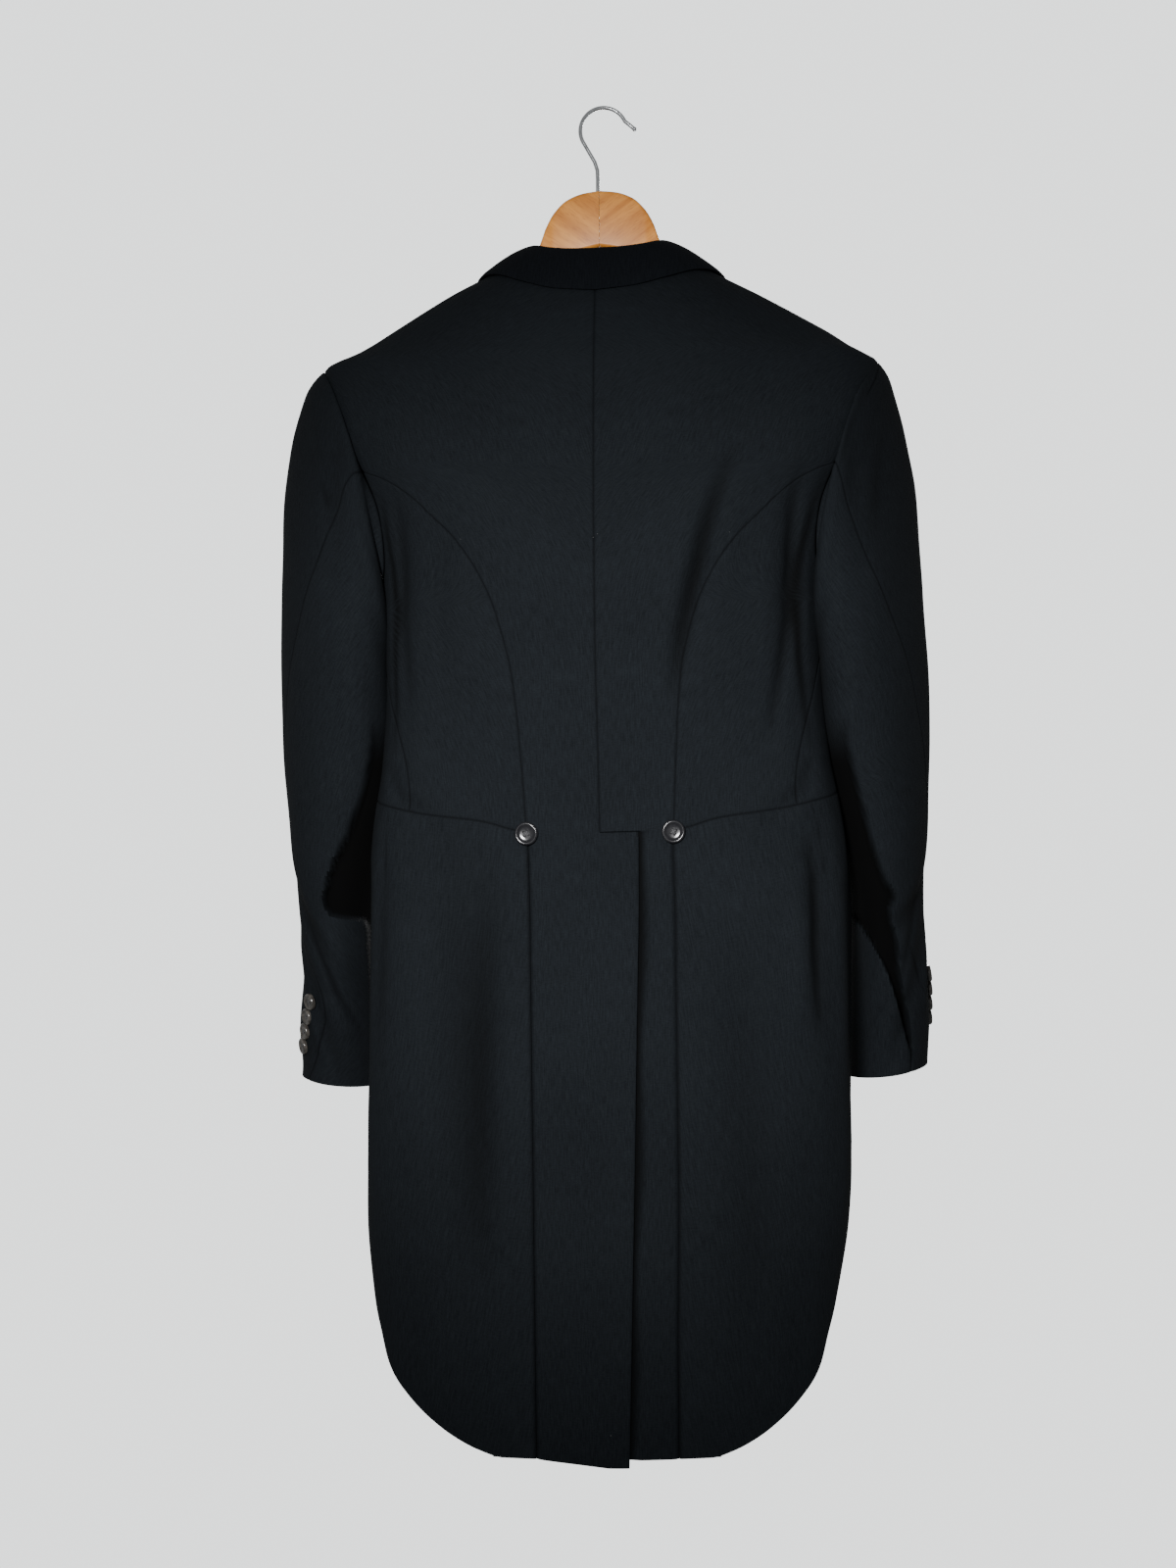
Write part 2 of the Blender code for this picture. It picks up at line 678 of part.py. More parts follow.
def make_sidebody(side):
    rows = range(JUNCTION_ROW, WAIST_ROW + 1)
    places = bodice_places(rows, SIDE_CELLS, lambda row: back_seam_turn(LEVELS[row]), side_outer_edge)
    body_wall("sidebody_" + side, "wool", side, grid_cells(rows[:-1], range(SIDE_CELLS)), places)


def make_front(side):
    rows = range(WAIST_ROW + 1)
    places = bodice_places(rows, FRONT_CELLS, front_rear_edge, lambda row: front_edge_turn(LEVELS[row]))
    body_wall("front_" + side, "wool", side, grid_cells(rows[:-1], range(FRONT_CELLS)), places)


def make_skirt(side):
    """The skirt, whose columns go on from those of the side body and the front above it."""
    level = LEVELS[WAIST_ROW]
    pleat = turn_at_x(PLEAT_EDGE_X, WAIST_Z)
    seam = side_seam_turn(level)
    edge = front_edge_turn(level)
    turns = [pleat + (seam - pleat) * k / SIDE_CELLS for k in range(SIDE_CELLS)]
    turns += [seam + (edge - seam) * k / FRONT_CELLS for k in range(FRONT_CELLS + 1)]
    places = {}
    for column, turn in enumerate(turns):
        head = WAIST_SEAM.at("z", turn) - SEAM_GAP
        foot = HEM.at("z", turn)
        for row in range(SKIRT_ROWS + 1):
            z = head + (foot - head) * row / SKIRT_ROWS
            here = turn_at_x(PLEAT_EDGE_X, z) if column == 0 else turn
            places[row, column] = (here, z, 0.0)
    body_wall("skirt_" + side, "wool", side, grid_cells(range(SKIRT_ROWS), range(len(turns) - 1)), places)


def make_lapel(side):
    """A peaked lapel, turned back on the front along its crease."""
    places = {}
    for row in range(LAPEL_ROWS + 1):
        down = row / LAPEL_ROWS
        crease_z = LAPEL_TOP_Z + (LAPEL_FOOT_Z - LAPEL_TOP_Z) * down
        crease_x = FRONT_EDGE.at("x", crease_z)
        edge_x = LAPEL.at("x", down)
        edge_z = LAPEL.at("z", down)
        for column in range(LAPEL_CELLS + 1):
            across = column / LAPEL_CELLS
            x = crease_x + (edge_x - crease_x) * across
            z = crease_z + (edge_z - crease_z) * across
            roll = LAPEL_ROLL * math.sin(math.pi * across) * (1 - down)
            lift = LAPEL_CREASE_LIFT + (LAPEL_LIFT - LAPEL_CREASE_LIFT) * min(across * 3, 1.0)
            out = CLOTH + lift + roll
            places[row, column] = (turn_at_x(x, z, front=True), z, out)
    cells = grid_cells(range(LAPEL_ROWS), range(LAPEL_CELLS))
    body_wall("lapel_" + side, "wool_collar", side, cells, places)


def collar_fold(along):
    return Vector([COLLAR.at(name, along) for name in ("fold_x", "fold_y", "fold_z")])


def collar_frame(along):
    """Outward direction, level, at a place on the collar's fold."""
    ahead = collar_fold(min(along + 0.01, 1.0)) - collar_fold(max(along - 0.01, 0.0))
    outward = Vector((-ahead.y, ahead.x, 0.0))
    if outward.dot(collar_fold(along)) < 0:
        outward = -outward
    return outward.normalized()


def fall_point(along, down, sunk):
    fold = collar_fold(along)
    edge = on_body(COLLAR.at("edge_turn", along), COLLAR.at("edge_z", along), FALL_LIFT)
    slope = edge - fold
    level = collar_frame(along)
    outward = (level * -slope.z + Vector((0, 0, 1)) * slope.dot(level)).normalized()
    bulge = FALL_BULGE * math.sin(math.pi * down)
    return fold + slope * down + outward * (bulge - sunk)


def stand_point(along, up, sunk):
    turn = COLLAR.at("neck_turn", along)
    foot = on_body(turn, row_height(LEVELS[0], turn), -CLOTH - STAND_CLEAR)
    outward = collar_frame(along)
    head = collar_fold(along) - outward * STAND_INSET - Vector((0, 0, MM))
    return foot + (head - foot) * up - outward * sunk


def make_collar():
    """The collar's stand and its fall, each in one piece round the neck."""
    def build(name, steps, point, depth, reach):
        outer = {}
        inner = {}
        for column in range(2 * COLLAR_CELLS + 1):
            along = reach * abs(column - COLLAR_CELLS) / COLLAR_CELLS
            side = "right" if column < COLLAR_CELLS else "left"
            for row in range(steps + 1):
                outer[row, column] = hang(point(along, row / steps, 0.0), side)
                inner[row, column] = hang(point(along, row / steps, depth), side)
        add_wall(name, "wool_collar", grid_cells(range(steps), range(2 * COLLAR_CELLS)), outer, inner)

    build("collar_fall", FALL_CELLS, fall_point, CLOTH, 1.0)
    build("collar_stand", STAND_CELLS, stand_point, STAND_DEPTH, STAND_REACH)


def armhole_ring():
    """The armhole's points, from the shoulder down its back edge and up its front edge."""
    ring = []
    for row in range(SHOULDER_ROW, UNDERARM_ROW + 1):
        ring.append((armhole_turn(LEVELS[row], "back_y"), LEVELS[row]))
    for row in range(UNDERARM_ROW - 1, SHOULDER_ROW, -1):
        ring.append((armhole_turn(LEVELS[row], "front_y"), LEVELS[row]))
    return ring


def ring_values(side, ring):
    outer_x = SLEEVE.at("outer_x", ring) + ARM_SPREAD.at(side + "_outer", ring)
    inner_x = SLEEVE.at("inner_x", ring) + ARM_SPREAD.at(side + "_inner", ring)
    outer = Vector((outer_x, 0.0, SLEEVE.at("outer_z", ring)))
    inner = Vector((inner_x, 0.0, SLEEVE.at("inner_z", ring)))
    middle = (outer + inner) / 2 + Vector((0.0, SLEEVE.at("middle_y", ring), 0.0))
    depth = Vector((-SLEEVE.at("skew", ring), SLEEVE.at("half_deep", ring), 0.0))
    return middle, (outer - inner) / 2, depth


def sleeve_point(side, ring, turn):
    """A point of the sleeve below the armhole; the turn is 0 behind and 90 outside."""
    middle, rise, depth = ring_values(side, ring)
    angle = math.radians(turn)
    return middle + rise * math.sin(angle) + depth * math.cos(angle)


def sleeve_normal(side, ring, turn):
    round_it = sleeve_point(side, ring, turn + 1.0) - sleeve_point(side, ring, turn - 1.0)
    along = sleeve_point(side, ring + 0.05, turn) - sleeve_point(side, ring - 0.05, turn)
    return round_it.cross(along).normalized()


def sleeve_turns(side):
    """The turn of each ring point on each ring, even below the armhole and twisting with
    the rear seam."""
    middle, rise, depth = ring_values(side, 1.0)
    start = []
    for turn, z in armhole_ring():
        point = body_point(turn, z) - middle
        start.append(math.degrees(math.atan2(point.dot(rise) / rise.length_squared, point.y / depth.y)))
    for k in range(1, RING_POINTS):
        while start[k] > start[k - 1]:
            start[k] -= 360.0
    table = {}
    for ring in range(1, SLEEVE_RINGS + 1):
        settled = ease(ring, 0.0, SLEEVE_SETTLES)
        seam = SLEEVE.at(side + "_seam", ring)
        for k in range(RING_POINTS):
            own = start[k] - start[REAR_SEAM]
            even = -360.0 / RING_POINTS * (k - REAR_SEAM)
            table[ring, k] = seam + own + (even - own) * settled
    return table


def sleeve_grid(side):
    """The outer and inner points of a whole sleeve, by ring and place round it."""
    outer = {}
    inner = {}
    inward = {}
    hole = [(body_point(turn, z), body_normal(turn, z)) for turn, z in armhole_ring()]
    centre = sum((point for point, _ in hole), Vector()) / RING_POINTS
    for k, (point, normal) in enumerate(hole):
        run = hole[(k + 1) % RING_POINTS][0] - hole[k - 1][0]
        into = normal.cross(run).normalized()
        if into.dot(centre - point) < 0:
            into = -into
        outer[0, k] = point + into * HOLE_CLEAR
        inward[k] = (into - normal).normalized()
    turns = sleeve_turns(side)
    for (ring, k), turn in turns.items():
        point = sleeve_point(side, ring, turn)
        outer[ring, k] = point + sleeve_normal(side, ring, turn) * CLOTH
        inner[ring, k] = point
    # The sleeve head turns sharply out of the armhole, so its first rings are measured
    for ring in (0, 1, 2):
        for k in range(RING_POINTS):
            along = outer[ring + 1, k] - outer[max(ring - 1, 0), k]
            round_it = outer[ring, (k - 1) % RING_POINTS] - outer[ring, (k + 1) % RING_POINTS]
            depth = along.cross(round_it).normalized()
            if ring == 0:
                depth = (depth + inward[k]).normalized()
            inner[ring, k] = outer[ring, k] + depth * CLOTH
    return outer, inner


def make_sleeve(side):
    """The top sleeve and the under sleeve, parted at the rear and the fore seam."""
    outer, inner = sleeve_grid(side)
    spans = {
        "undersleeve_": range(REAR_SEAM, FORE_SEAM + 1),
        "topsleeve_": range(FORE_SEAM, RING_POINTS + REAR_SEAM + 1),
    }
    for name, span in spans.items():
        faces = []
        for grid in (outer, inner):
            face = {}
            for ring in range(SLEEVE_RINGS + 1):
                row = [grid[ring, k % RING_POINTS].copy() for k in span]
                row[0] += (row[1] - row[0]).normalized() * SLEEVE_PART[side]
                row[-1] += (row[-2] - row[-1]).normalized() * SLEEVE_PART[side]
                for column, point in enumerate(row):
                    face[ring, column] = hang(point, side, sleeve=True)
            faces.append(face)
        cells = grid_cells(range(SLEEVE_RINGS), range(len(span) - 1))
        add_wall(name + side, "wool", cells, faces[0], faces[1])


def seat_height(base, normal, radius, cloths):
    """How high the cloth stands under a button, over the plane through its base."""
    across = normal.orthogonal().normalized()
    highest = 0.0
    for cloth in cloths:
        mesh = bpy.data.objects[cloth].data
        mesh.calc_loop_triangles()
        corners = [triangle.vertices for triangle in mesh.loop_triangles]
        tree = BVHTree.FromPolygons([vertex.co for vertex in mesh.vertices], corners)
        for part in (0.0, 0.3, 0.6, 0.8, 1.0):
            for k in range(BUTTON_SIDES):
                spoke = Matrix.Rotation(2 * math.pi * k / BUTTON_SIDES, 3, normal) @ across
                start = base + spoke * radius * part + normal * radius
                hit = tree.ray_cast(start, -normal, 2 * radius)
                if hit[0]:
                    highest = max(highest, radius - hit[3])
    return highest


def make_button(name, finish_name, size, base, normal, cloths):
    """A turned button with a raised rim, seated on the cloth at base."""
    diameter, height = size
    radius = diameter / 2
    seat = seat_height(base, normal, radius, cloths) + BUTTON_SEAT
    profile = (
        (0.0, 0.62 * height),
        (0.55 * radius, 0.62 * height),
        (0.72 * radius, 0.95 * height),
        (0.88 * radius, height),
        (radius, 0.60 * height),
        (0.86 * radius, 0.12 * height),
        (0.60 * radius, 0.0),
        (0.0, 0.0),
    )
    mesh = bpy.data.meshes.new(name)
    shape = bmesh.new()
    rings = []
    for across, up in profile:
        if across == 0.0:
            rings.append([shape.verts.new((0.0, 0.0, up))])
        else:
            steps = [2 * math.pi * k / BUTTON_SIDES for k in range(BUTTON_SIDES)]
            rings.append([shape.verts.new((across * math.cos(a), across * math.sin(a), up)) for a in steps])
    for above, below in zip(rings, rings[1:]):
        for k in range(BUTTON_SIDES):
            ahead = (k + 1) % BUTTON_SIDES
            if len(above) == 1:
                shape.faces.new((above[0], below[k], below[ahead]))
            elif len(below) == 1:
                shape.faces.new((above[k], below[0], above[ahead]))
            else:
                shape.faces.new((above[k], below[k], below[ahead], above[ahead]))
    bmesh.ops.recalc_face_normals(shape, faces=shape.faces)
    shape.to_mesh(mesh)
    shape.free()
    mesh.transform(Vector((0, 0, 1)).rotation_difference(normal).to_matrix().to_4x4())
    mesh.transform(Matrix.Translation(base + normal * seat))
    mesh.materials.append(finish(finish_name))
    mesh.shade_smooth()
    mesh.set_sharp_from_angle(angle=math.radians(40))
    COAT.objects.link(bpy.data.objects.new(name, mesh))


def hung_place(place, side, sleeve=False):
    """The hung point and the outward direction at a place given as a function of two steps."""
    step = 2 * MM
    here = hang(place(0.0, 0.0), side, sleeve)
    across = hang(place(step, 0.0), side, sleeve) - here
    down = hang(place(0.0, step), side, sleeve) - here
    normal = across.cross(down).normalized()
    return here, normal


def make_body_button(name, size, side, x, z, cloths, front=False):
    def place(across, down):
        return on_body(turn_at_x(x + across, z - down, front), z - down)

    here, normal = hung_place(place, side)
    outward = Vector((0.0, -1.0 if front else 1.0, 0.0))
    if normal.dot(outward) < 0:
        normal = -normal
    make_button(name, "horn_black", size, here, normal, cloths)


def make_cuff_buttons(side):
    """Four buttons down the cuff, side by side along the rear seam."""
    row = CUFF_ROW[side]
    ring = row["ring"]
    for k in range(CUFF_BUTTONS):
        turn = SLEEVE.at(side + "_seam", ring) + row["beyond_seam"] + row["drift"] * k
        here = hang(sleeve_point(side, ring, turn), side, sleeve=True)
        out = hang(sleeve_point(side, ring, turn) + sleeve_normal(side, ring, turn) * MM, side, sleeve=True)
        name = "button_cuff_%s_%d" % (side, k + 1)
        cloths = ("topsleeve_" + side, "undersleeve_" + side)
        make_button(name, "horn_grey", CUFF_BUTTON, here, (out - here).normalized(), cloths)
        there = here
        while (there - here).length < CUFF_PITCH:
            ring += RING_STEP
            turn = SLEEVE.at(side + "_seam", ring) + row["beyond_seam"] + row["drift"] * (k + 1)
            there = hang(sleeve_point(side, ring, turn), side, sleeve=True)


def make_hanger(side):
    """Half of the wooden hanger: sections from the joint in the middle out to the tip."""
    xs = WOOD.keys
    points = []
    for k, x in enumerate(xs):
        top = WOOD.values["top_z"][k]
        half_high = WOOD.values["height"][k] / 2
        half_thick = WOOD.values["half_thick"][k]
        forward = WOOD.values["forward"][k]
        for j in range(WOOD_SIDES):
            angle = 2 * math.pi * j / WOOD_SIDES
            c = math.cos(angle)
            s = math.sin(angle)
            y = half_thick * math.copysign(abs(c) ** 0.6, c) - forward
            z = top - half_high + half_high * math.copysign(abs(s) ** 0.8, s)
            points.append(hang(Vector((max(x, HALF_GAP), y, z)), side))
    faces = [list(range(WOOD_SIDES)), list(range(len(points) - WOOD_SIDES, len(points)))]
    for k in range(len(xs) - 1):
        for j in range(WOOD_SIDES):
            ahead = (j + 1) % WOOD_SIDES
            base = k * WOOD_SIDES
            faces.append([base + j, base + ahead, base + WOOD_SIDES + ahead, base + WOOD_SIDES + j])
    add_mesh("hanger_" + side, "beech", points, faces)


def make_hook():
    """The bent wire of the hook, with a small round tip."""
    top = HOOK_WIRE / 2
    middle = Vector((0.0, 0.0, top - HOOK_RADIUS))
    path = [
        Vector((SHANK_X, 0.0, SHANK_FOOT_Z)),
        Vector((SHANK_X, 0.0, -0.0600)),
        Vector((SHANK_X + 0.0004, 0.0, -0.0520)),
        Vector((SHANK_X + 0.0026, 0.0, -0.0450)),
        Vector((SHANK_X + 0.0064, 0.0, -0.0385)),
    ]
    # The crook runs from low on the left, over the top, to the right, where the tip flares out
    for k in range(17):
        angle = math.radians(-35 + 190 * k / 16)
        path.append(middle + Vector((math.cos(angle), 0.0, math.sin(angle))) * HOOK_RADIUS)
    path += [Vector((-0.0215, 0.0, -0.0125)), Vector((-0.0262, 0.0, -0.0165))]
    curve = bpy.data.curves.new("hook_wire", "CURVE")
    curve.dimensions = "3D"
    curve.bevel_depth = HOOK_WIRE / 2
    curve.bevel_resolution = 2
    curve.use_fill_caps = True
    spline = curve.splines.new("POLY")
    spline.points.add(len(path) - 1)
    for point, place in zip(spline.points, path):
        point.co = (*place, 1.0)
    curve.materials.append(finish("chrome"))
    COAT.objects.link(bpy.data.objects.new("hook", curve))


def clear_scene():
    for thing in list(bpy.data.objects):
        bpy.data.objects.remove(thing, do_unlink=True)


clear_scene()
COAT = bpy.data.collections.new("morning_coat")
bpy.context.scene.collection.children.link(COAT)

for coat_side in ("left", "right"):
    make_back(coat_side)
    make_sidebody(coat_side)
    make_front(coat_side)
    make_skirt(coat_side)
    make_lapel(coat_side)
    make_sleeve(coat_side)
    cloths_below = [name + coat_side for name in ("back_", "sidebody_", "skirt_")]
    make_body_button("button_back_" + coat_side, BACK_BUTTON, coat_side, BACK_EDGE_X, WAIST_Z, cloths_below)
    make_cuff_buttons(coat_side)
    make_hanger(coat_side)
front_cloths = ("front_left", "skirt_left")
make_body_button("button_front", FRONT_BUTTON, "left", 0.0, FRONT_BUTTON_Z, front_cloths, front=True)
make_collar()
make_hook()
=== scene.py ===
import math

import bmesh
import bpy
import numpy as np
from mathutils import Matrix, Vector


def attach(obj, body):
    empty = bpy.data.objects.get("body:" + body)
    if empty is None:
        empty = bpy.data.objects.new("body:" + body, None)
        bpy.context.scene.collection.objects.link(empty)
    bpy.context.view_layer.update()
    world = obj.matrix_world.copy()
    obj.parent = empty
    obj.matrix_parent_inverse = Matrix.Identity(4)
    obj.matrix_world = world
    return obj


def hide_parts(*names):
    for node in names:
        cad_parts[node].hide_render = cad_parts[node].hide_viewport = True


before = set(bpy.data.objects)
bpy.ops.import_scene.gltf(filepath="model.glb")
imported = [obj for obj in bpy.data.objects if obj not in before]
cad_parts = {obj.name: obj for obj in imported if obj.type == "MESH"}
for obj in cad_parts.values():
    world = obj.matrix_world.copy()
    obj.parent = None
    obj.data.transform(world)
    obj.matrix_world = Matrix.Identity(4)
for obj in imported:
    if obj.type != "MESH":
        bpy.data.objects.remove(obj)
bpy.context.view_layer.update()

# A black wool morning coat on a wooden coat hanger, seen from behind. Metres, +Z up, the back
# of the coat towards +Y and the wearer's left towards +X. The forms below are those of the
# solids, worked out again on a finer grid, with the creases, seams and finishes added.

MM = 0.001

# The cloth, the solids' wall that it takes the place of, and how far an underlap lies below
CLOTH = 1.6 * MM
WALL = 1.8 * MM
TUCK = 2.6 * MM
LAP_LIFT = 0.3 * MM
# Spacing of the grids: over a panel, over the narrow back panel, and close to a seam
STEP = 3.0 * MM
PANEL_STEP = 1.15 * MM
NEAR_SEAM = (0.0, 0.6 * MM, 1.4 * MM, 2.6 * MM)
# Cloth dips into a seam, and the painted shade along the seam is narrower than the dip
SEAM_ROLL = 0.55 * MM
SEAM_ROLL_WIDTH = 1.3 * MM
SEAM_SHADE_WIDTH = 0.9 * MM

# Levels of the coat
SHOULDER_Z = -0.222
JUNCTION_Z = -0.317
UNDERARM_Z = -0.430
WAIST_Z = -0.618
NECK_Z = -0.131
NAPE_DIP = 0.019
SHOULDER_SEAM = -4.0

# The back's skirt: its pleat edges, the vent, and the hems
BACK_EDGE_X = 0.0605
PLEAT_EDGE_X = 0.0600
UNDERLAP_X = 0.096
UNDERLAP_DROP = 1.0 * MM
VENT_TOP_X = 0.0319
VENT_HEM_X = 0.0166
VENT_LEDGE_DROP = 4.0 * MM
VENT_UNDERLAP = 0.030
# The painted shadow beside the vent's laid-over edge: its width, and how that width waves down the
# tail; then the width of the painted shade along a pleat's edge
VENT_SHADE = 7.5 * MM
VENT_SHADE_WAVES = 9.0
PLEAT_SHADE_WIDTH = 1.7 * MM
BACK_HEM_LEFT = -1.139
BACK_HEM_RIGHT = -1.1328
PLEAT_HEM = -1.1318


class Table:
    """Rows of named columns, read along smooth curves by the first column."""

    def __init__(self, names, rows):
        ordered = np.array(sorted(rows), dtype=float)
        self.keys = ordered[:, 0]
        self.values = {name: ordered[:, i] for i, name in enumerate(names)}
        self.slopes = {}
        for name in names[1:]:
            runs = np.diff(self.values[name]) / np.diff(self.keys)
            slopes = [runs[0]]
            for before, after in zip(runs, runs[1:]):
                slopes.append(2 * before * after / (before + after) if before * after > 0 else 0.0)
            slopes.append(runs[-1])
            self.slopes[name] = np.array(slopes)

    def at(self, name, key):
        keys = self.keys
        key = np.clip(key, keys[0], keys[-1])
        i = np.clip(np.searchsorted(keys, key, side="right") - 1, 0, len(keys) - 2)
        step = keys[i + 1] - keys[i]
        t = (key - keys[i]) / step
        low, high = self.values[name][i], self.values[name][i + 1]
        rise, fall = self.slopes[name][i] * step, self.slopes[name][i + 1] * step
        return (low * (1 + 2 * t) * (1 - t) ** 2 + rise * t * (1 - t) ** 2
                + high * t * t * (3 - 2 * t) - fall * t * t * (1 - t))


# The body's level sections, as rounded oblongs
BODY = Table(
    ("z", "half_width", "back", "front", "squareness"),
    (
        (-0.100, 0.060, 0.038, 0.040, 2.0),
        (-0.130, 0.074, 0.042, 0.046, 2.0),
        (-0.145, 0.097, 0.050, 0.050, 2.0),
        (-0.166, 0.136, 0.058, 0.056, 2.0),
        (-0.190, 0.178, 0.066, 0.063, 2.0),
        (-0.210, 0.212, 0.072, 0.068, 2.1),
        (-0.222, 0.235, 0.075, 0.070, 2.2),
        (-0.250, 0.2343, 0.080, 0.075, 2.4),
        (-0.286, 0.2266, 0.084, 0.079, 2.7),
        (-0.317, 0.2130, 0.086, 0.082, 2.9),
        (-0.360, 0.1980, 0.087, 0.083, 2.9),
        (-0.400, 0.1900, 0.086, 0.083, 2.8),
        (-0.430, 0.1875, 0.085, 0.082, 2.8),
        (-0.500, 0.1870, 0.081, 0.079, 2.7),
        (-0.560, 0.1920, 0.078, 0.077, 2.6),
        (-0.600, 0.1990, 0.078, 0.076, 2.6),
        (-0.640, 0.2045, 0.079, 0.076, 2.5),
        (-0.700, 0.2075, 0.080, 0.077, 2.5),
        (-0.840, 0.2080, 0.083, 0.079, 2.5),
        (-0.950, 0.2060, 0.084, 0.079, 2.5),
        (-1.040, 0.1990, 0.084, 0.079, 2.5),
        (-1.160, 0.1960, 0.084, 0.079, 2.5),
    ),
)
# How the coat hangs: a lean to one side, a shift across and a slight turn, by height
HANG = Table(
    ("z", "lean", "shift", "turn"),
    (
        (-1.160, 0.0, -0.0044, 0.0),
        (-0.900, 0.0, -0.0044, 2.2),
        (-0.700, 0.010, -0.0044, 4.2),
        (-0.600, 0.018, -0.0026, 5.0),
        (-0.450, 0.0245, 0.0006, 5.0),
        (-0.222, 0.0245, 0.0022, 5.0),
        (-0.060, 0.0245, 0.0036, 5.0),
    ),
)
SLEEVE_LEAN = 0.0245
# How the shoulders sit on the hanger: the left one higher and wider, the right one's tip lower
LEFT_SHOULDER = 6.0 * MM
LEFT_TIP = 4.0 * MM
RIGHT_SHOULDER = -5.0 * MM
SHOULDER_FADES = (-0.52, -0.34)
# The right skirt narrows a little towards the hem
RIGHT_NARROWS = 0.035
RIGHT_FULL_Z = -0.900
RIGHT_NARROW_Z = -1.060
# The seams and edges of the body's panels
BACK_SEAM = Table(
    ("z", "x"),
    (
        (-0.3170, 0.1966), (-0.3250, 0.1780), (-0.3405, 0.1547), (-0.3600, 0.1340),
        (-0.3790, 0.1150), (-0.4030, 0.0977), (-0.4270, 0.0857), (-0.4525, 0.0776),
        (-0.4800, 0.0711), (-0.5200, 0.0666), (-0.5600, 0.0638), (-0.6180, BACK_EDGE_X),
    ),
)
SIDE_SEAM = Table(
    ("z", "y"),
    (
        (-0.430, -0.006), (-0.460, 0.016), (-0.495, 0.033), (-0.525, 0.043),
        (-0.554, 0.050), (-0.580, 0.054), (-0.618, 0.056),
    ),
)
ARMHOLE = Table(
    ("z", "back_y", "front_y"),
    (
        (SHOULDER_Z, -0.0055, -0.0055),
        (-0.238, 0.0180, -0.0250),
        (-0.259, 0.0340, -0.0380),
        (-0.287, 0.0445, -0.0470),
        (-0.317, 0.0490, -0.0510),
        (-0.346, 0.0510, -0.0520),
        (-0.368, 0.0490, -0.0500),
        (-0.390, 0.0425, -0.0450),
        (-0.408, 0.0330, -0.0370),
        (-0.421, 0.0200, -0.0250),
        (UNDERARM_Z, -0.0060, -0.0060),
    ),
)
FRONT_EDGE = Table(
    ("z", "x"),
    (
        (-0.131, 0.0620), (-0.150, 0.0620), (-0.250, 0.0455), (-0.400, 0.0210),
        (-0.520, 0.0015), (-0.560, -0.0060), (-0.585, -0.0120), (-0.640, -0.0120),
    ),
)
WAIST_SEAM = Table(
    ("turn", "z"),
    (
        (-95.0, -0.604), (-45.0, -0.594), (0.0, -0.588), (25.0, -0.592),
        (50.0, -0.602), (62.0, -0.607), (73.0, -0.6165), (90.0, WAIST_Z),
    ),
)
HEM = Table(
    ("turn", "z"),
    (
        (-97.0, -0.636), (-80.0, -0.652), (-70.0, -0.682), (-50.0, -0.765), (-30.0, -0.855),
        (-10.0, -0.945), (8.0, -1.000), (20.7, -1.036), (27.0, -1.062), (38.0, -1.0878),
        (45.7, -1.1037), (53.0, -1.1176), (59.0, -1.1262), (65.0, -1.1315), (75.0, PLEAT_HEM),
    ),
)
# The collar, from the centre back round to its front end
COLLAR = Table(
    ("along", "fold_x", "fold_y", "fold_z", "edge_turn", "edge_z", "neck_turn"),
    (
        (0.00, 0.0000, 0.0460, -0.1293, 90.0, -0.1684, 90.0),
        (0.16, 0.0200, 0.0445, -0.1285, 78.0, -0.1658, 72.0),
        (0.32, 0.0380, 0.0385, -0.1255, 60.0, -0.1575, 52.0),
        (0.48, 0.0515, 0.0260, -0.1205, 37.0, -0.1495, 30.0),
        (0.62, 0.0580, 0.0110, -0.1180, 18.0, -0.1475, 12.0),
        (0.76, 0.0605, -0.0090, -0.1215, -5.0, -0.1500, -6.0),
        (0.90, 0.0618, -0.0325, -0.1315, -27.0, -0.1590, -22.0),
        (1.00, 0.0630, -0.0442, -0.1481, -42.0, -0.1700, -33.0),
    ),
)
COLLAR_CELLS = 60
FALL_LIFT = 3.6 * MM
FALL_BULGE = 3.0 * MM
FALL_EDGE_DROP = 0.9 * MM
STAND_DEPTH = 1.5 * MM
STAND_INSET = 3.0 * MM
STAND_CLEAR = 1.6 * MM
STAND_REACH = 0.76
LAPEL_TOP_Z = -0.152
LAPEL_FOOT_Z = -0.515
LAPEL = Table(
    ("down", "x", "z"),
    (
        (0.00, 0.1260, -0.1900),
        (0.08, 0.1265, -0.1960),
        (0.20, 0.1180, -0.2250),
        (0.40, 0.0960, -0.3000),
        (0.60, 0.0700, -0.3750),
        (0.80, 0.0400, -0.4500),
        (1.00, 0.0050, -0.5170),
    ),
)
LAPEL_CREASE_LIFT = 0.8 * MM
LAPEL_LIFT = 1.5 * MM
LAPEL_ROLL = 2.0 * MM
# The lapel's rows and columns, and the columns that roll round the front edge
LAPEL_ROWS, LAPEL_COLUMNS, LAPEL_EDGE_COLUMNS = 100, 28, 6
# The skirt's rows, those that spread out from the waist seam, and the columns by the pleat
SKIRT_ROWS, SKIRT_SPREAD_ROWS, PLEAT_COLUMNS = 130, 6, 12
DART_WIDTH = 1.0 * MM
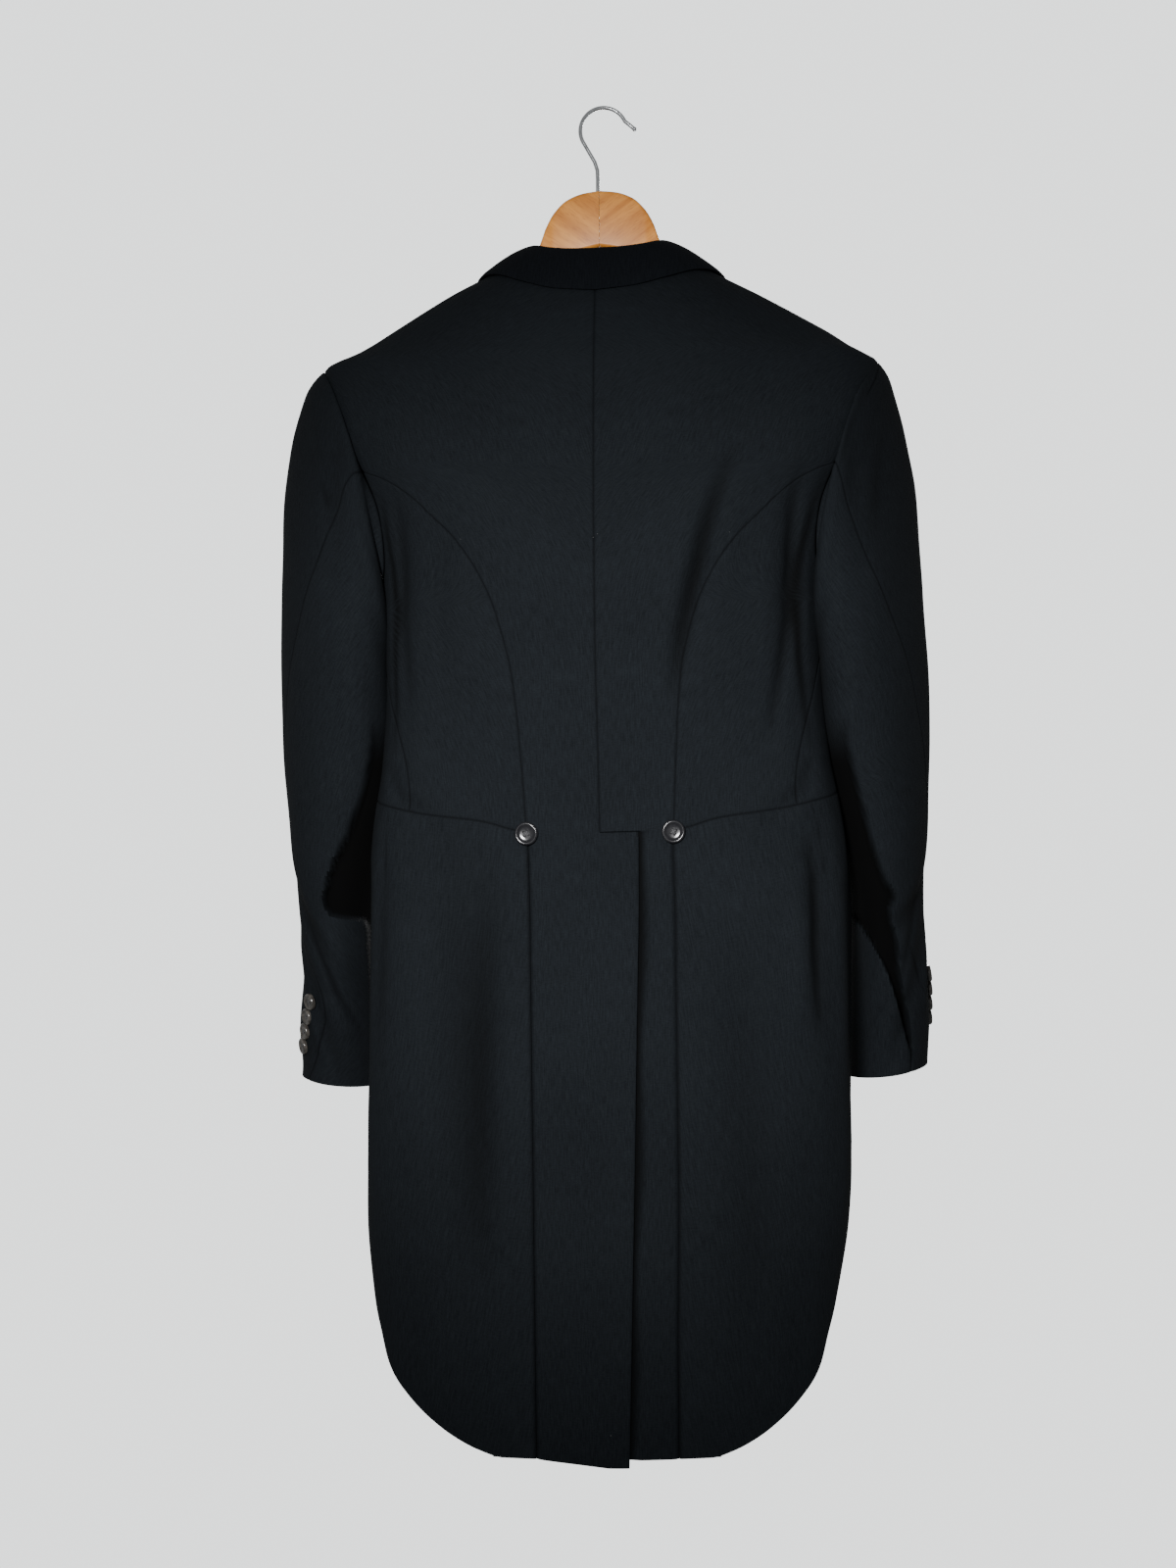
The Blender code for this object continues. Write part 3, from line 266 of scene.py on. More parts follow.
# The sleeves' rings, from the armhole to the cuff
SLEEVE = Table(
    ("ring", "outer_x", "outer_z", "inner_x", "inner_z", "middle_y", "half_deep", "skew",
     "left_seam", "right_seam"),
    (
        (1.0, 0.2385, -0.2235, 0.1925, -0.4300, -0.003, 0.060, 0.018, 5.0, 5.0),
        (2.0, 0.2455, -0.2400, 0.1935, -0.4330, -0.005, 0.065, 0.024, 10.0, 10.0),
        (3.0, 0.2520, -0.2680, 0.1945, -0.4410, -0.008, 0.070, 0.029, 17.0, 17.0),
        (4.0, 0.2575, -0.3050, 0.1950, -0.4520, -0.012, 0.074, 0.032, 23.0, 23.0),
        (5.0, 0.2620, -0.3520, 0.1955, -0.4700, -0.017, 0.077, 0.030, 32.0, 30.0),
        (6.0, 0.2670, -0.4080, 0.1945, -0.4980, -0.022, 0.079, 0.025, 46.0, 42.0),
        (7.0, 0.2730, -0.4750, 0.1940, -0.5400, -0.030, 0.079, 0.020, 62.0, 58.0),
        (8.0, 0.2765, -0.5450, 0.1960, -0.5900, -0.041, 0.077, 0.014, 77.0, 72.0),
        (9.0, 0.2775, -0.6100, 0.2010, -0.6380, -0.053, 0.073, 0.007, 84.0, 82.0),
        (10.0, 0.2770, -0.6650, 0.2060, -0.6850, -0.066, 0.069, 0.003, 76.0, 78.0),
        (11.0, 0.2765, -0.7150, 0.2090, -0.7300, -0.079, 0.066, 0.000, 46.0, 74.0),
        (12.0, 0.2790, -0.7600, 0.2100, -0.7720, -0.090, 0.063, 0.000, 13.0, 82.0),
        (13.0, 0.2810, -0.8000, 0.2105, -0.8100, -0.098, 0.061, 0.000, 17.0, 86.0),
        (14.0, 0.2795, -0.8330, 0.2110, -0.8430, -0.103, 0.060, 0.000, 42.0, 88.0),
    ),
)
# How much wider or narrower each arm hangs than the rings say
ARM_SPREAD = Table(
    ("ring", "left_outer", "left_inner", "right_outer", "right_inner"),
    (
        (1.0, 0.001, 0.000, -0.002, 0.000),
        (2.0, 0.006, 0.000, -0.003, 0.000),
        (3.0, 0.009, 0.000, -0.004, 0.000),
        (5.0, 0.012, -0.002, -0.002, 0.000),
        (7.0, 0.012, -0.004, 0.000, 0.000),
        (8.0, 0.011, -0.003, -0.001, 0.001),
        (9.0, 0.008, 0.001, -0.003, 0.001),
        (10.0, 0.005, 0.003, -0.005, 0.002),
        (11.0, 0.001, 0.000, -0.005, 0.002),
        (12.0, 0.000, 0.000, -0.002, 0.001),
        (14.0, 0.000, 0.000, 0.000, 0.000),
    ),
)
HOLE_LEVELS = (SHOULDER_Z, -0.238, -0.259, -0.287, -0.317, -0.3215, -0.330, -0.346, -0.368,
               -0.390, -0.408, -0.421, UNDERARM_Z)
HOLE_CLEAR = 0.05 * MM
SLEEVE_RINGS = 14
SLEEVE_SETTLES = 5
RING_POINTS = 24
REAR_SEAM = 4
FORE_SEAM = 16
# Parts of a ring and of a point's spacing, where the sleeve's grid is closer by its edges
CLOSE_RINGS = (0.0, 0.03, 0.08)
CLOSE_POINTS = (0.0, 0.035, 0.085, 0.16)
# The rows between them, from ring to ring, the last ones at the cuff, and the cells to a point
EVEN_RINGS = (0.16, 13.9, 158)
CUFF_RINGS = (13.95, 14.0)
POINT_CELLS = 5
# Metres for a degree round the arm, for a ring down it, and for a degree round the body,
# by which the folds' paths are laid out flat
SLEEVE_RUN = 0.00115
RING_RUN = 0.0435
BODY_RUN = 0.0026
# How strongly a fold of a millimetre's depth shades the cloth, where its row doesn't say
FOLD_SHADE = 0.07

# Soft folds of the body, each down a path of (turn, z): the turn is 0 at the side and 90 at
# the centre back. Positive depth is a hollow, negative a ridge; width is half of its breadth.
# Shade, where given, is how strongly the fold is painted dark as shade; the shallow, strongly
# shaded ones by the armholes are painted shadow from the sleeves.
BODY_FOLDS = {
    "left": (
        {"path": ((55.0, -0.625), (58.0, -0.96)), "width": 0.020, "depth": 4.0},
        {"path": ((8.0, -0.640), (2.0, -0.90)), "width": 0.026, "depth": 5.0},
        {"path": ((42.3, -0.345), (38.0, -0.40), (35.7, -0.437), (38.0, -0.505)), "width": 0.008,
         "depth": 4.2, "shade": 0.40},
        {"path": ((50.0, -0.350), (46.0, -0.410), (45.5, -0.470)), "width": 0.010, "depth": -1.8},
        {"path": ((36.5, -0.340), (33.5, -0.385), (32.4, -0.430), (31.0, -0.480), (29.5, -0.545)),
         "width": 0.0050, "depth": 0.8, "shade": 0.90},
        {"path": ((55.0, -0.370), (51.5, -0.420), (52.5, -0.480)), "width": 0.008, "depth": 1.4},
        {"path": ((26.0, -0.560), (36.0, -0.586), (50.0, -0.600)), "width": 0.007, "depth": 2.4},
        {"path": ((64.0, -0.64), (62.0, -0.78), (61.0, -0.98)), "width": 0.013, "depth": 4.4,
         "shade": 0.42},
        {"path": ((70.0, -0.66), (68.0, -0.80), (67.0, -1.02)), "width": 0.012, "depth": -2.2},
        {"path": ((30.0, -0.64), (26.0, -0.80)), "width": 0.012, "depth": 3.2},
        {"path": ((-40.0, -0.30), (-30.0, -0.42)), "width": 0.012, "depth": 3.4},
        {"path": ((-15.0, -0.45), (-28.0, -0.58)), "width": 0.012, "depth": 2.6},
        {"path": ((-55.0, -0.60), (-45.0, -0.72)), "width": 0.014, "depth": 3.0},
    ),
    "right": (
        {"path": ((36.0, -0.625), (32.0, -0.80)), "width": 0.015, "depth": 3.0},
        {"path": ((60.0, -0.700), (55.0, -1.05)), "width": 0.020, "depth": 3.0},
        {"path": ((61.0, -0.310), (62.5, -0.345), (65.1, -0.403), (68.2, -0.451), (71.0, -0.505)),
         "width": 0.0058, "depth": 5.6, "shade": 0.72},
        {"path": ((66.5, -0.330), (69.5, -0.400), (73.0, -0.470)), "width": 0.009, "depth": -3.0},
        {"path": ((57.0, -0.350), (60.0, -0.410), (63.0, -0.480)), "width": 0.009, "depth": -1.6},
        {"path": ((44.0, -0.325), (43.0, -0.350), (39.5, -0.40), (39.2, -0.445), (42.0, -0.49),
                  (46.0, -0.535)), "width": 0.0062, "depth": 5.6, "shade": 0.62},
        {"path": ((34.5, -0.325), (35.5, -0.360), (36.0, -0.400), (36.0, -0.440), (35.0, -0.475),
                  (32.5, -0.505), (30.5, -0.545)), "width": 0.0065, "depth": 1.2, "shade": 0.95},
        {"path": ((50.0, -0.345), (47.0, -0.410), (48.5, -0.480)), "width": 0.009, "depth": -2.2},
        {"path": ((33.0, -0.40), (32.0, -0.47)), "width": 0.008, "depth": -1.8},
        {"path": ((30.0, -0.560), (38.0, -0.586), (50.0, -0.602)), "width": 0.007, "depth": 2.4},
        {"path": ((38.3, -0.630), (36.5, -0.655), (37.0, -0.717), (35.6, -0.780)), "width": 0.006,
         "depth": 4.6, "shade": 0.62},
        {"path": ((43.5, -0.640), (43.0, -0.700), (42.0, -0.780)), "width": 0.009, "depth": -2.2},
        {"path": ((-38.0, -0.31), (-28.0, -0.43)), "width": 0.012, "depth": 3.4},
        {"path": ((-14.0, -0.46), (-30.0, -0.59)), "width": 0.012, "depth": 2.6},
        {"path": ((10.0, -0.65), (4.0, -0.88)), "width": 0.024, "depth": 3.4},
    ),
}
# The skirts' darts, below the side seams, drawn only as lines of painted shade
DARTS = {
    "left": ((31.5, -0.605), (31.0, -0.635), (30.5, -0.662)),
    "right": ((34.5, -0.600), (33.0, -0.630), (32.0, -0.655)),
}
# Deep hollows inside the elbows as seen from behind, where black cloth turns away from the
# light: they are sunk, and painted nearly black as shade. Each row runs from inner_x, next to
# the body, to outer_x
ELBOWS = {
    "left": Table(("z", "inner_x", "outer_x"), (
        (-0.5430, 0.1960, 0.1980), (-0.5640, 0.1960, 0.2015), (-0.6200, 0.1950, 0.2200),
        (-0.6500, 0.1950, 0.2350), (-0.6810, 0.1950, 0.2425), (-0.6890, 0.1950, 0.2380),
        (-0.6950, 0.1950, 0.2120), (-0.7050, 0.1950, 0.2080), (-0.8400, 0.1950, 0.2060),
    )),
    "right": Table(("z", "inner_x", "outer_x"), (
        (-0.5430, -0.1860, -0.2030), (-0.5610, -0.1870, -0.2080), (-0.5970, -0.1900, -0.2180),
        (-0.6340, -0.1930, -0.2290), (-0.6600, -0.1960, -0.2390), (-0.6750, -0.2010, -0.2480),
        (-0.6840, -0.2110, -0.2440), (-0.6960, -0.2200, -0.2460), (-0.7100, -0.2300, -0.2510),
        (-0.7230, -0.2380, -0.2530), (-0.7440, -0.2480, -0.2560), (-0.7670, -0.2560, -0.2620),
        (-0.8130, -0.2700, -0.2705),
    )),
}
ELBOW_DEPTH = 15 * MM
ELBOW_LIP = 2.4 * MM
ELBOW_TOP = (-0.520, -0.565)
ELBOW_FOOT = {"left": (-0.845, -0.690), "right": (-0.845, -0.800)}
# Creases of the sleeves seen from behind, along paths of (x, z); shade is how strongly each is
# painted dark as shade
ARM_CREASES = {
    "left": (
        {"path": ((0.2590, -0.6980), (0.2480, -0.7250), (0.2340, -0.7590), (0.2230, -0.7780),
                  (0.2130, -0.7990)), "width": 0.0030, "depth": 3.0, "shade": 0.55},
        {"path": ((0.2440, -0.6960), (0.2330, -0.7200), (0.2200, -0.7450)), "width": 0.010,
         "depth": -3.0, "shade": 0.0},
        {"path": ((0.2380, -0.3270), (0.2300, -0.3480)), "width": 0.0040, "depth": 1.6,
         "shade": 0.35},
        {"path": ((0.2250, -0.4300), (0.2100, -0.4900), (0.2000, -0.5500)), "width": 0.012,
         "depth": -2.0, "shade": 0.0},
    ),
    "right": (
        {"path": ((-0.2700, -0.6600), (-0.2640, -0.7000), (-0.2570, -0.7450)), "width": 0.0035,
         "depth": 2.4, "shade": 0.45},
        {"path": ((-0.2640, -0.7180), (-0.2700, -0.7350), (-0.2760, -0.7530)), "width": 0.0016,
         "depth": 1.2, "shade": 0.70},
        {"path": ((-0.2340, -0.2800), (-0.2280, -0.3250), (-0.2260, -0.3700)), "width": 0.0060,
         "depth": 1.8, "shade": 0.30},
    ),
}
# Soft folds of the sleeves, each along a path of (ring, turn): 0 is the back of the arm and
# 90 its outer side
SLEEVE_FOLDS = {
    "left": (
        {"path": ((1.2, 20.0), (3.0, 28.0), (5.0, 20.0)), "width": 0.012, "depth": 2.0},
        {"path": ((9.6, 84.0), (10.4, 40.0), (11.0, 0.0)), "width": 0.011, "depth": 4.5},
        {"path": ((10.6, 88.0), (11.6, 50.0), (12.8, 18.0), (13.7, -5.0)), "width": 0.009,
         "depth": -3.2},
        {"path": ((10.9, 70.0), (12.2, 22.0), (13.6, -25.0)), "width": 0.013, "depth": 4.0},
        {"path": ((8.6, -60.0), (9.4, -100.0)), "width": 0.012, "depth": 4.0},
        {"path": ((9.8, -70.0), (10.2, -130.0)), "width": 0.012, "depth": 4.0},
        {"path": ((3.2, -100.0), (4.6, -150.0)), "width": 0.014, "depth": 3.0},
        {"path": ((8.0, 150.0), (9.0, 190.0)), "width": 0.013, "depth": 3.0},
    ),
    "right": (
        {"path": ((1.2, 24.0), (3.0, 34.0), (5.0, 30.0)), "width": 0.012, "depth": 2.0},
        {"path": ((9.9, 92.0), (10.4, 50.0), (10.7, 5.0)), "width": 0.010, "depth": 4.5},
        {"path": ((10.7, 88.0), (11.6, 62.0), (12.6, 52.0)), "width": 0.008, "depth": -2.6},
        {"path": ((11.0, 60.0), (12.4, 20.0), (13.7, -10.0)), "width": 0.012, "depth": 3.0},
        {"path": ((8.4, -55.0), (9.2, -100.0)), "width": 0.012, "depth": 4.0},
        {"path": ((9.9, -65.0), (10.4, -125.0)), "width": 0.012, "depth": 3.4},
        {"path": ((3.4, -95.0), (4.8, -150.0)), "width": 0.014, "depth": 3.0},
        {"path": ((7.6, 150.0), (8.8, 195.0)), "width": 0.013, "depth": 3.0},
    ),
}


def ease(value, start, end):
    t = np.clip((value - start) / (end - start), 0.0, 1.0)
    return t * t * (3 - 2 * t)


def unit(vectors):
    return vectors / np.maximum(np.linalg.norm(vectors, axis=-1, keepdims=True), 1e-12)


def body_point(turn, z):
    turn, z = np.broadcast_arrays(np.asarray(turn, float), np.asarray(z, float))
    c, s = np.cos(np.radians(turn)), np.sin(np.radians(turn))
    n = BODY.at("squareness", z)
    reach = (np.abs(c) ** n + np.abs(s) ** n) ** (-1 / n)
    depth = np.where(s >= 0, BODY.at("back", z), BODY.at("front", z))
    return np.stack([BODY.at("half_width", z) * c * reach, depth * s * reach, z], axis=-1)


def body_normal(turn, z):
    across = body_point(turn + 0.5, z) - body_point(turn - 0.5, z)
    down = body_point(turn, z - MM) - body_point(turn, z + MM)
    return unit(np.cross(down, across))


def turn_at_x(x, z, front=False):
    n = BODY.at("squareness", z)
    u = np.clip(x / BODY.at("half_width", z), -1.0, 1.0)
    v = (1 - np.abs(u) ** n) ** (1 / n)
    return np.degrees(np.arctan2(-v if front else v, u))


def turn_at_y(y, z):
    n = BODY.at("squareness", z)
    v = y / np.where(y >= 0, BODY.at("back", z), BODY.at("front", z))
    return np.degrees(np.arctan2(v, (1 - np.abs(v) ** n) ** (1 / n)))


def row_height(level, turn):
    dip = NAPE_DIP * np.maximum(np.sin(np.radians(turn)), 0.0) ** 2
    above = level - dip * (level - SHOULDER_Z) / (NECK_Z - SHOULDER_Z)
    drop = WAIST_SEAM.at("z", np.minimum(turn, 90.0)) - WAIST_Z
    below = level + drop * (UNDERARM_Z - level) / (UNDERARM_Z - WAIST_Z)
    return np.where(level > SHOULDER_Z, above, np.where(level < UNDERARM_Z, below, level))


def seam_turn(level, turn_at):
    turn = turn_at(level)
    for _ in range(8):
        turn = turn_at(row_height(level, turn))
    return turn


def back_seam_turn(level):
    return seam_turn(level, lambda z: turn_at_x(BACK_SEAM.at("x", z), z))


def side_seam_turn(level):
    return seam_turn(level, lambda z: turn_at_y(SIDE_SEAM.at("y", z), z))


def armhole_turn(level, edge):
    return seam_turn(level, lambda z: turn_at_y(ARMHOLE.at(edge, z), z))


def front_edge_turn(level):
    return seam_turn(level, lambda z: turn_at_x(FRONT_EDGE.at("x", z), z, front=True))


def beside(distance, width):
    """1 on a line, and fading away softly on both sides of it."""
    return np.exp(-((distance / width) ** 2))


def path_distance(u, v, path):
    """Distance of each point from a path, and how far along the path it lies, 0 to 1."""
    path = np.array(path)
    lengths = np.hypot(*np.diff(path, axis=0).T)
    total = lengths.sum()
    best = np.full(u.shape, 1e9)
    along = np.zeros(u.shape)
    done = 0.0
    for start, end, length in zip(path, path[1:], lengths):
        du, dv = (end - start) / length
        t = (u - start[0]) * du + (v - start[1]) * dv
        inside = np.clip(t, 0.0, length)
        far = np.hypot(u - start[0] - inside * du, v - start[1] - inside * dv)
        nearer = far < best
        best = np.where(nearer, far, best)
        along = np.where(nearer, (done + inside) / total, along)
        done += length
    return best, along


def fold_sum(folds, u, v, unroll):
    """How far soft folds sink a surface, and how much painted shade each lays on the cloth; unroll
    turns a path's numbers to flat metres."""
    sunk = np.zeros(u.shape)
    dark = np.zeros(u.shape)
    for fold in folds:
        far, along = path_distance(u, v, [unroll(*place) for place in fold["path"]])
        swell = np.sin(np.pi * np.clip(along * 0.94 + 0.03, 0, 1)) ** 0.7
        sunk += fold["depth"] * MM * beside(far, fold["width"]) * swell
        shade = fold.get("shade", max(fold["depth"], 0.0) * FOLD_SHADE)
        dark += shade * beside(far, fold["width"] * 0.8) * swell
    return sunk, dark


def body_sunk(side, turn, z):
    sunk, dark = fold_sum(BODY_FOLDS[side], turn * BODY_RUN, z, lambda a, b: (a * BODY_RUN, b))
    if side == "right":
        # The right front goes under the left one where they meet
        x = body_point(turn, z)[..., 0]
        sunk += np.where(turn > 0, 0.0, TUCK * ease(x, 0.052, 0.028) * ease(z, -0.455, -0.500))
    # Cloth is never quite even: a faint slow ripple all over
    sunk += 0.35 * MM * np.sin(turn * 0.31 + z * 23.0) * np.sin(z * 31.0 - turn * 0.11)
    return sunk, dark


def elbow_hollow(side, points, turned):
    """How deep the elbow hollow lies at each point, 0 to 1; the same share paints it nearly black
    as shade.
    """
    x, z = points[..., 0], points[..., 2]
    inner, outer = ELBOWS[side].at("inner_x", z), ELBOWS[side].at("outer_x", z)
    way = 1.0 if side == "left" else -1.0
    share = ease(way * (outer - x), 0.0, ELBOW_LIP)
    if side == "right":
        share = share * ease(way * (x - inner), -1.2 * ELBOW_LIP, 0.0)
    share = share * ease(z, *ELBOW_TOP) * ease(z, *ELBOW_FOOT[side])
    return share * ease(np.cos(np.radians(turned)), -0.35, 0.05)


def hang(points, side, sleeve=False):
    """Points of one half of the coat, put on their side and hung as the coat hangs."""
    out, y, z = points[..., 0], points[..., 1], points[..., 2]
    high = ease(z, *SHOULDER_FADES)
    if side == "left":
        x = out + LEFT_TIP * ease(out, 0.190, 0.235) * high
        lift = LEFT_SHOULDER * ease(out, 0.040, 0.130) * high
    else:
        x = out * (RIGHT_NARROWS * ease(z, RIGHT_FULL_Z, RIGHT_NARROW_Z) - 1.0)
        lift = RIGHT_SHOULDER * ease(out, 0.190, 0.237) * high
    lean = SLEEVE_LEAN if sleeve else HANG.at("lean", z)
    turn = np.radians(HANG.at("turn", z))
    return np.stack([
        x * np.cos(turn) + y * np.sin(turn) + HANG.at("shift", z),
        y * np.cos(turn) - x * np.sin(turn),
        z - lean * x + lift,
    ], axis=-1)


def select_only(thing):
    bpy.ops.object.select_all(action="DESELECT")
    thing.select_set(True)
    bpy.context.view_layer.objects.active = thing


def apply_modifier(thing, kind, **values):
    modifier = thing.modifiers.new(kind.title(), kind)
    for name, value in values.items():
        setattr(modifier, name, value)
    select_only(thing)
    bpy.ops.object.modifier_apply(modifier=modifier.name)


def face_outwards(thing):
    select_only(thing)
    bpy.ops.object.mode_set(mode="EDIT")
    bpy.ops.mesh.select_all(action="SELECT")
    bpy.ops.mesh.normals_make_consistent(inside=False)
    bpy.ops.object.mode_set(mode="OBJECT")


def flat_map(grid):
    """Lengths in metres across and down a grid, measured from its middle column and top row."""
    rows, columns = grid.shape[:2]
    middle = columns // 2
    across = np.zeros((rows, columns))
    across[:, 1:] = np.cumsum(np.linalg.norm(np.diff(grid, axis=1), axis=-1), axis=1)
    across -= across[:, middle:middle + 1]
    down = np.zeros((rows, columns))
    down[1:] = np.cumsum(np.linalg.norm(np.diff(grid, axis=0), axis=-1), axis=0)
    down[:] = down[:, middle:middle + 1]
    return across, down


def add_sheet(name, grid, outward, material, replaces,
              missing=None, seam=None, hollow=None, thickness=CLOTH):
    """A sheet of cloth over a grid of points, given its thickness inwards.

    missing marks the cells that the cut leaves out, seam is 1 at a seam and 0 away from it and
    sets the painted shade along the seam, and hollow is 1 where painted shade lies darkest: deep
    in folds, in the elbows and beside the vent's edge.
    """
    rows, columns = grid.shape[:2]
    index = np.arange(rows * columns).reshape(rows, columns)
    quads = np.stack([index[:-1, :-1], index[1:, :-1], index[1:, 1:], index[:-1, 1:]], axis=-1)
    if missing is not None:
        quads = quads[~missing]
    quads = quads.reshape(-1, 4)
    first = grid.reshape(-1, 3)[quads[len(quads) // 2]]
    facing = np.cross(first[2] - first[0], first[3] - first[1])
    if np.dot(facing, outward(first.mean(axis=0))) < 0:
        quads = quads[:, ::-1]
    mesh = bpy.data.meshes.new(name)
    mesh.from_pydata(grid.reshape(-1, 3).tolist(), [], quads.tolist())
    across, down = flat_map(grid)
    layer = mesh.uv_layers.new(name="cloth")
    places = np.stack([across.ravel(), down.ravel()], axis=-1)
    corners = np.empty(len(mesh.loops), dtype=np.int32)
    mesh.loops.foreach_get("vertex_index", corners)
    layer.data.foreach_set("uv", places[corners].astype(np.float32).ravel())
    for label, values in (("seam", seam), ("hollow", hollow)):
        shade = mesh.attributes.new(label, "FLOAT", "POINT")
        values = np.zeros(rows * columns) if values is None else np.clip(values, 0.0, 1.0).ravel()
        shade.data.foreach_set("value", values.astype(np.float32))
    mesh.materials.append(material)
    thing = bpy.data.objects.new(name, mesh)
    bpy.context.scene.collection.objects.link(thing)
    tidy = bmesh.new()
    tidy.from_mesh(mesh)
    bmesh.ops.delete(tidy, geom=[v for v in tidy.verts if not v.link_faces], context="VERTS")
    tidy.to_mesh(mesh)
    tidy.free()
    apply_modifier(thing, "SOLIDIFY", thickness=thickness, offset=-1.0, use_even_offset=False)
    mesh.shade_smooth()
    mesh.set_sharp_from_angle(angle=math.radians(62))
    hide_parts(*replaces)
    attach(thing, "root")


def between(knots, cells):
    """Values that go evenly from knot to knot, in the given number of cells between each two."""
    values = [knots[0]]
    for start, end, count in zip(knots, knots[1:], cells):
        values += [start + (end - start) * (k + 1) / count for k in range(count)]
    return np.array(values)


def cells_for(run, step=STEP):
    return max(1, int(round(run / step)))


def fine_levels(top, bottom, fixed=()):
    """Heights from top to bottom, closer together by both ends, passing through fixed ones."""
    inside = sorted((z for z in fixed if bottom < z < top), reverse=True)
    knots = [top - near for near in NEAR_SEAM] + inside
    knots += [bottom + near for near in reversed(NEAR_SEAM)]
    return between(knots, [cells_for(a - b) for a, b in zip(knots, knots[1:])])


def fine_spread(width):
    """Shares of a width, closer together by both edges."""
    shares = [near / width for near in NEAR_SEAM]
    knots = shares + [1 - share for share in reversed(shares)]
    return between(knots, [cells_for((b - a) * width) for a, b in zip(knots, knots[1:])])


def edge_distance(grid):
    """How far each point lies from the grid's two side edges, along its row."""
    steps = np.linalg.norm(np.diff(grid, axis=1), axis=-1)
    start = np.concatenate([np.zeros((len(grid), 1)), np.cumsum(steps, axis=1)], axis=1)
    return start, start[:, -1:] - start


def body_grid(side, turn, z, out):
    sunk, dark = body_sunk(side, turn, z)
    return hang(body_point(turn, z) + body_normal(turn, z) * (out - sunk)[..., None], side), dark


def rolled(distances):
    """How far cloth dips into its seams, and how strongly they shade it."""
    near = np.minimum.reduce(distances)
    return SEAM_ROLL * beside(near, SEAM_ROLL_WIDTH), beside(near, SEAM_SHADE_WIDTH)


def away(point):
    return np.array([point[0], point[1], 0.0])


def make_bodice_panel(name, side, level, start, end, width):
    """A panel that hangs from the shoulder or the armhole, between two seams, to the waist."""
    turn = start[:, None] + (end - start)[:, None] * fine_spread(width)[None, :]
    z = row_height(level[:, None], turn)
    left, right = edge_distance(body_point(turn, z))
    foot = np.abs(z - z[-1:])
    roll, seam = rolled([left, right, foot])
    grid, hollow = body_grid(side, turn, z, -roll)
    add_sheet("coat_" + name + "_" + side, grid, away, WOOL, [name + "_" + side],
              seam=seam, hollow=hollow)


def make_sidebody(side):
    level = fine_levels(JUNCTION_Z, WAIST_Z, (UNDERARM_Z,))
    end = np.where(level > UNDERARM_Z, armhole_turn(level, "back_y"), side_seam_turn(level))
    make_bodice_panel("sidebody", side, level, back_seam_turn(level), end, 0.10)


def make_front(side):
    level = fine_levels(NECK_Z, WAIST_Z, (SHOULDER_Z, UNDERARM_Z))
    armhole = armhole_turn(np.clip(level, UNDERARM_Z, SHOULDER_Z), "front_y")
    low = np.where(level > UNDERARM_Z, armhole, side_seam_turn(level))
    start = np.where(level > SHOULDER_Z, SHOULDER_SEAM, low)
    make_bodice_panel("front", side, level, start, front_edge_turn(level), 0.21)


def back_knots(side, vent):
    """Across the back panel's skirt, from the vent's lap to the pleat's underlap: the place and
    the lift of each knot."""
    pleat = [(0.0525, 0.0), (0.0570, -0.15 * TUCK), (BACK_EDGE_X, -TUCK), (0.078, -TUCK),
             (UNDERLAP_X, -TUCK)]
    if side == "left":
        lap = [(-vent, LAP_LIFT - 0.5 * MM), (-vent + 1.2 * MM, LAP_LIFT), (-vent * 0.5, LAP_LIFT)]
        panel = [(0.0, 0.0), (0.0015, 0.0), (0.010, 0.0), (0.045, 0.0)]
    else:
        lap = [(-VENT_UNDERLAP, -TUCK), (-VENT_UNDERLAP + 2 * MM, -TUCK),
               (-VENT_UNDERLAP * 0.5, -TUCK)]
        panel = [(0.0, -TUCK), (vent * 0.6, -TUCK), (vent + MM, -TUCK), (vent + 0.0105, 0.0)]
    places, lifts = zip(*(lap + panel + pleat))
    return places, lifts


# Where the middle seam and the pleat's edge lie in the list of knots
SEAM_KNOT, PLEAT_KNOT = 3, 9


def back_cells(side):
    """Cells between the knots, fine over the panel and coarser over its laps."""
    places, _ = back_knots(side, VENT_TOP_X)
    cells = []
    for k, (start, end) in enumerate(zip(places, places[1:])):
        step = PANEL_STEP if SEAM_KNOT <= k < PLEAT_KNOT else STEP
        cells.append(cells_for(abs(end - start), step))
    return cells


def back_bodice(side, skirt_shares):
    """The back above the waist: its grid's columns run into those of its skirt."""
    level = fine_levels(NECK_Z, WAIST_Z, (SHOULDER_Z, JUNCTION_Z, UNDERARM_Z))[:-1]
    armhole = armhole_turn(np.clip(level, JUNCTION_Z, SHOULDER_Z), "back_y")
    low = np.where(level > JUNCTION_Z, armhole, back_seam_turn(np.minimum(level, JUNCTION_Z)))
    outer = np.where(level > SHOULDER_Z, SHOULDER_SEAM, low)[:, None]
    width = body_point(90.0, level[:, None]) - body_point(outer, level[:, None])
    near = np.array(NEAR_SEAM)[None, :] / np.linalg.norm(width, axis=-1)
    count = len(skirt_shares) - 2 * near.shape[1] + 2
    middle = near[:, -1:] + (1 - 2 * near[:, -1:]) * np.linspace(0, 1, count)[None, :]
    even = np.concatenate([near[:, :-1], middle, 1 - near[:, -2::-1]], axis=1)
    settled = ease(level, -0.52, WAIST_Z)[:, None]
    share = even + (skirt_shares[None, :] - even) * settled
    turn = 90.0 + (outer - 90.0) * share
    z = row_height(level[:, None], turn)
    roll, seam = rolled(edge_distance(body_point(turn, z)))
    grid, hollow = body_grid(side, turn, z, -roll)
    return grid, seam, hollow


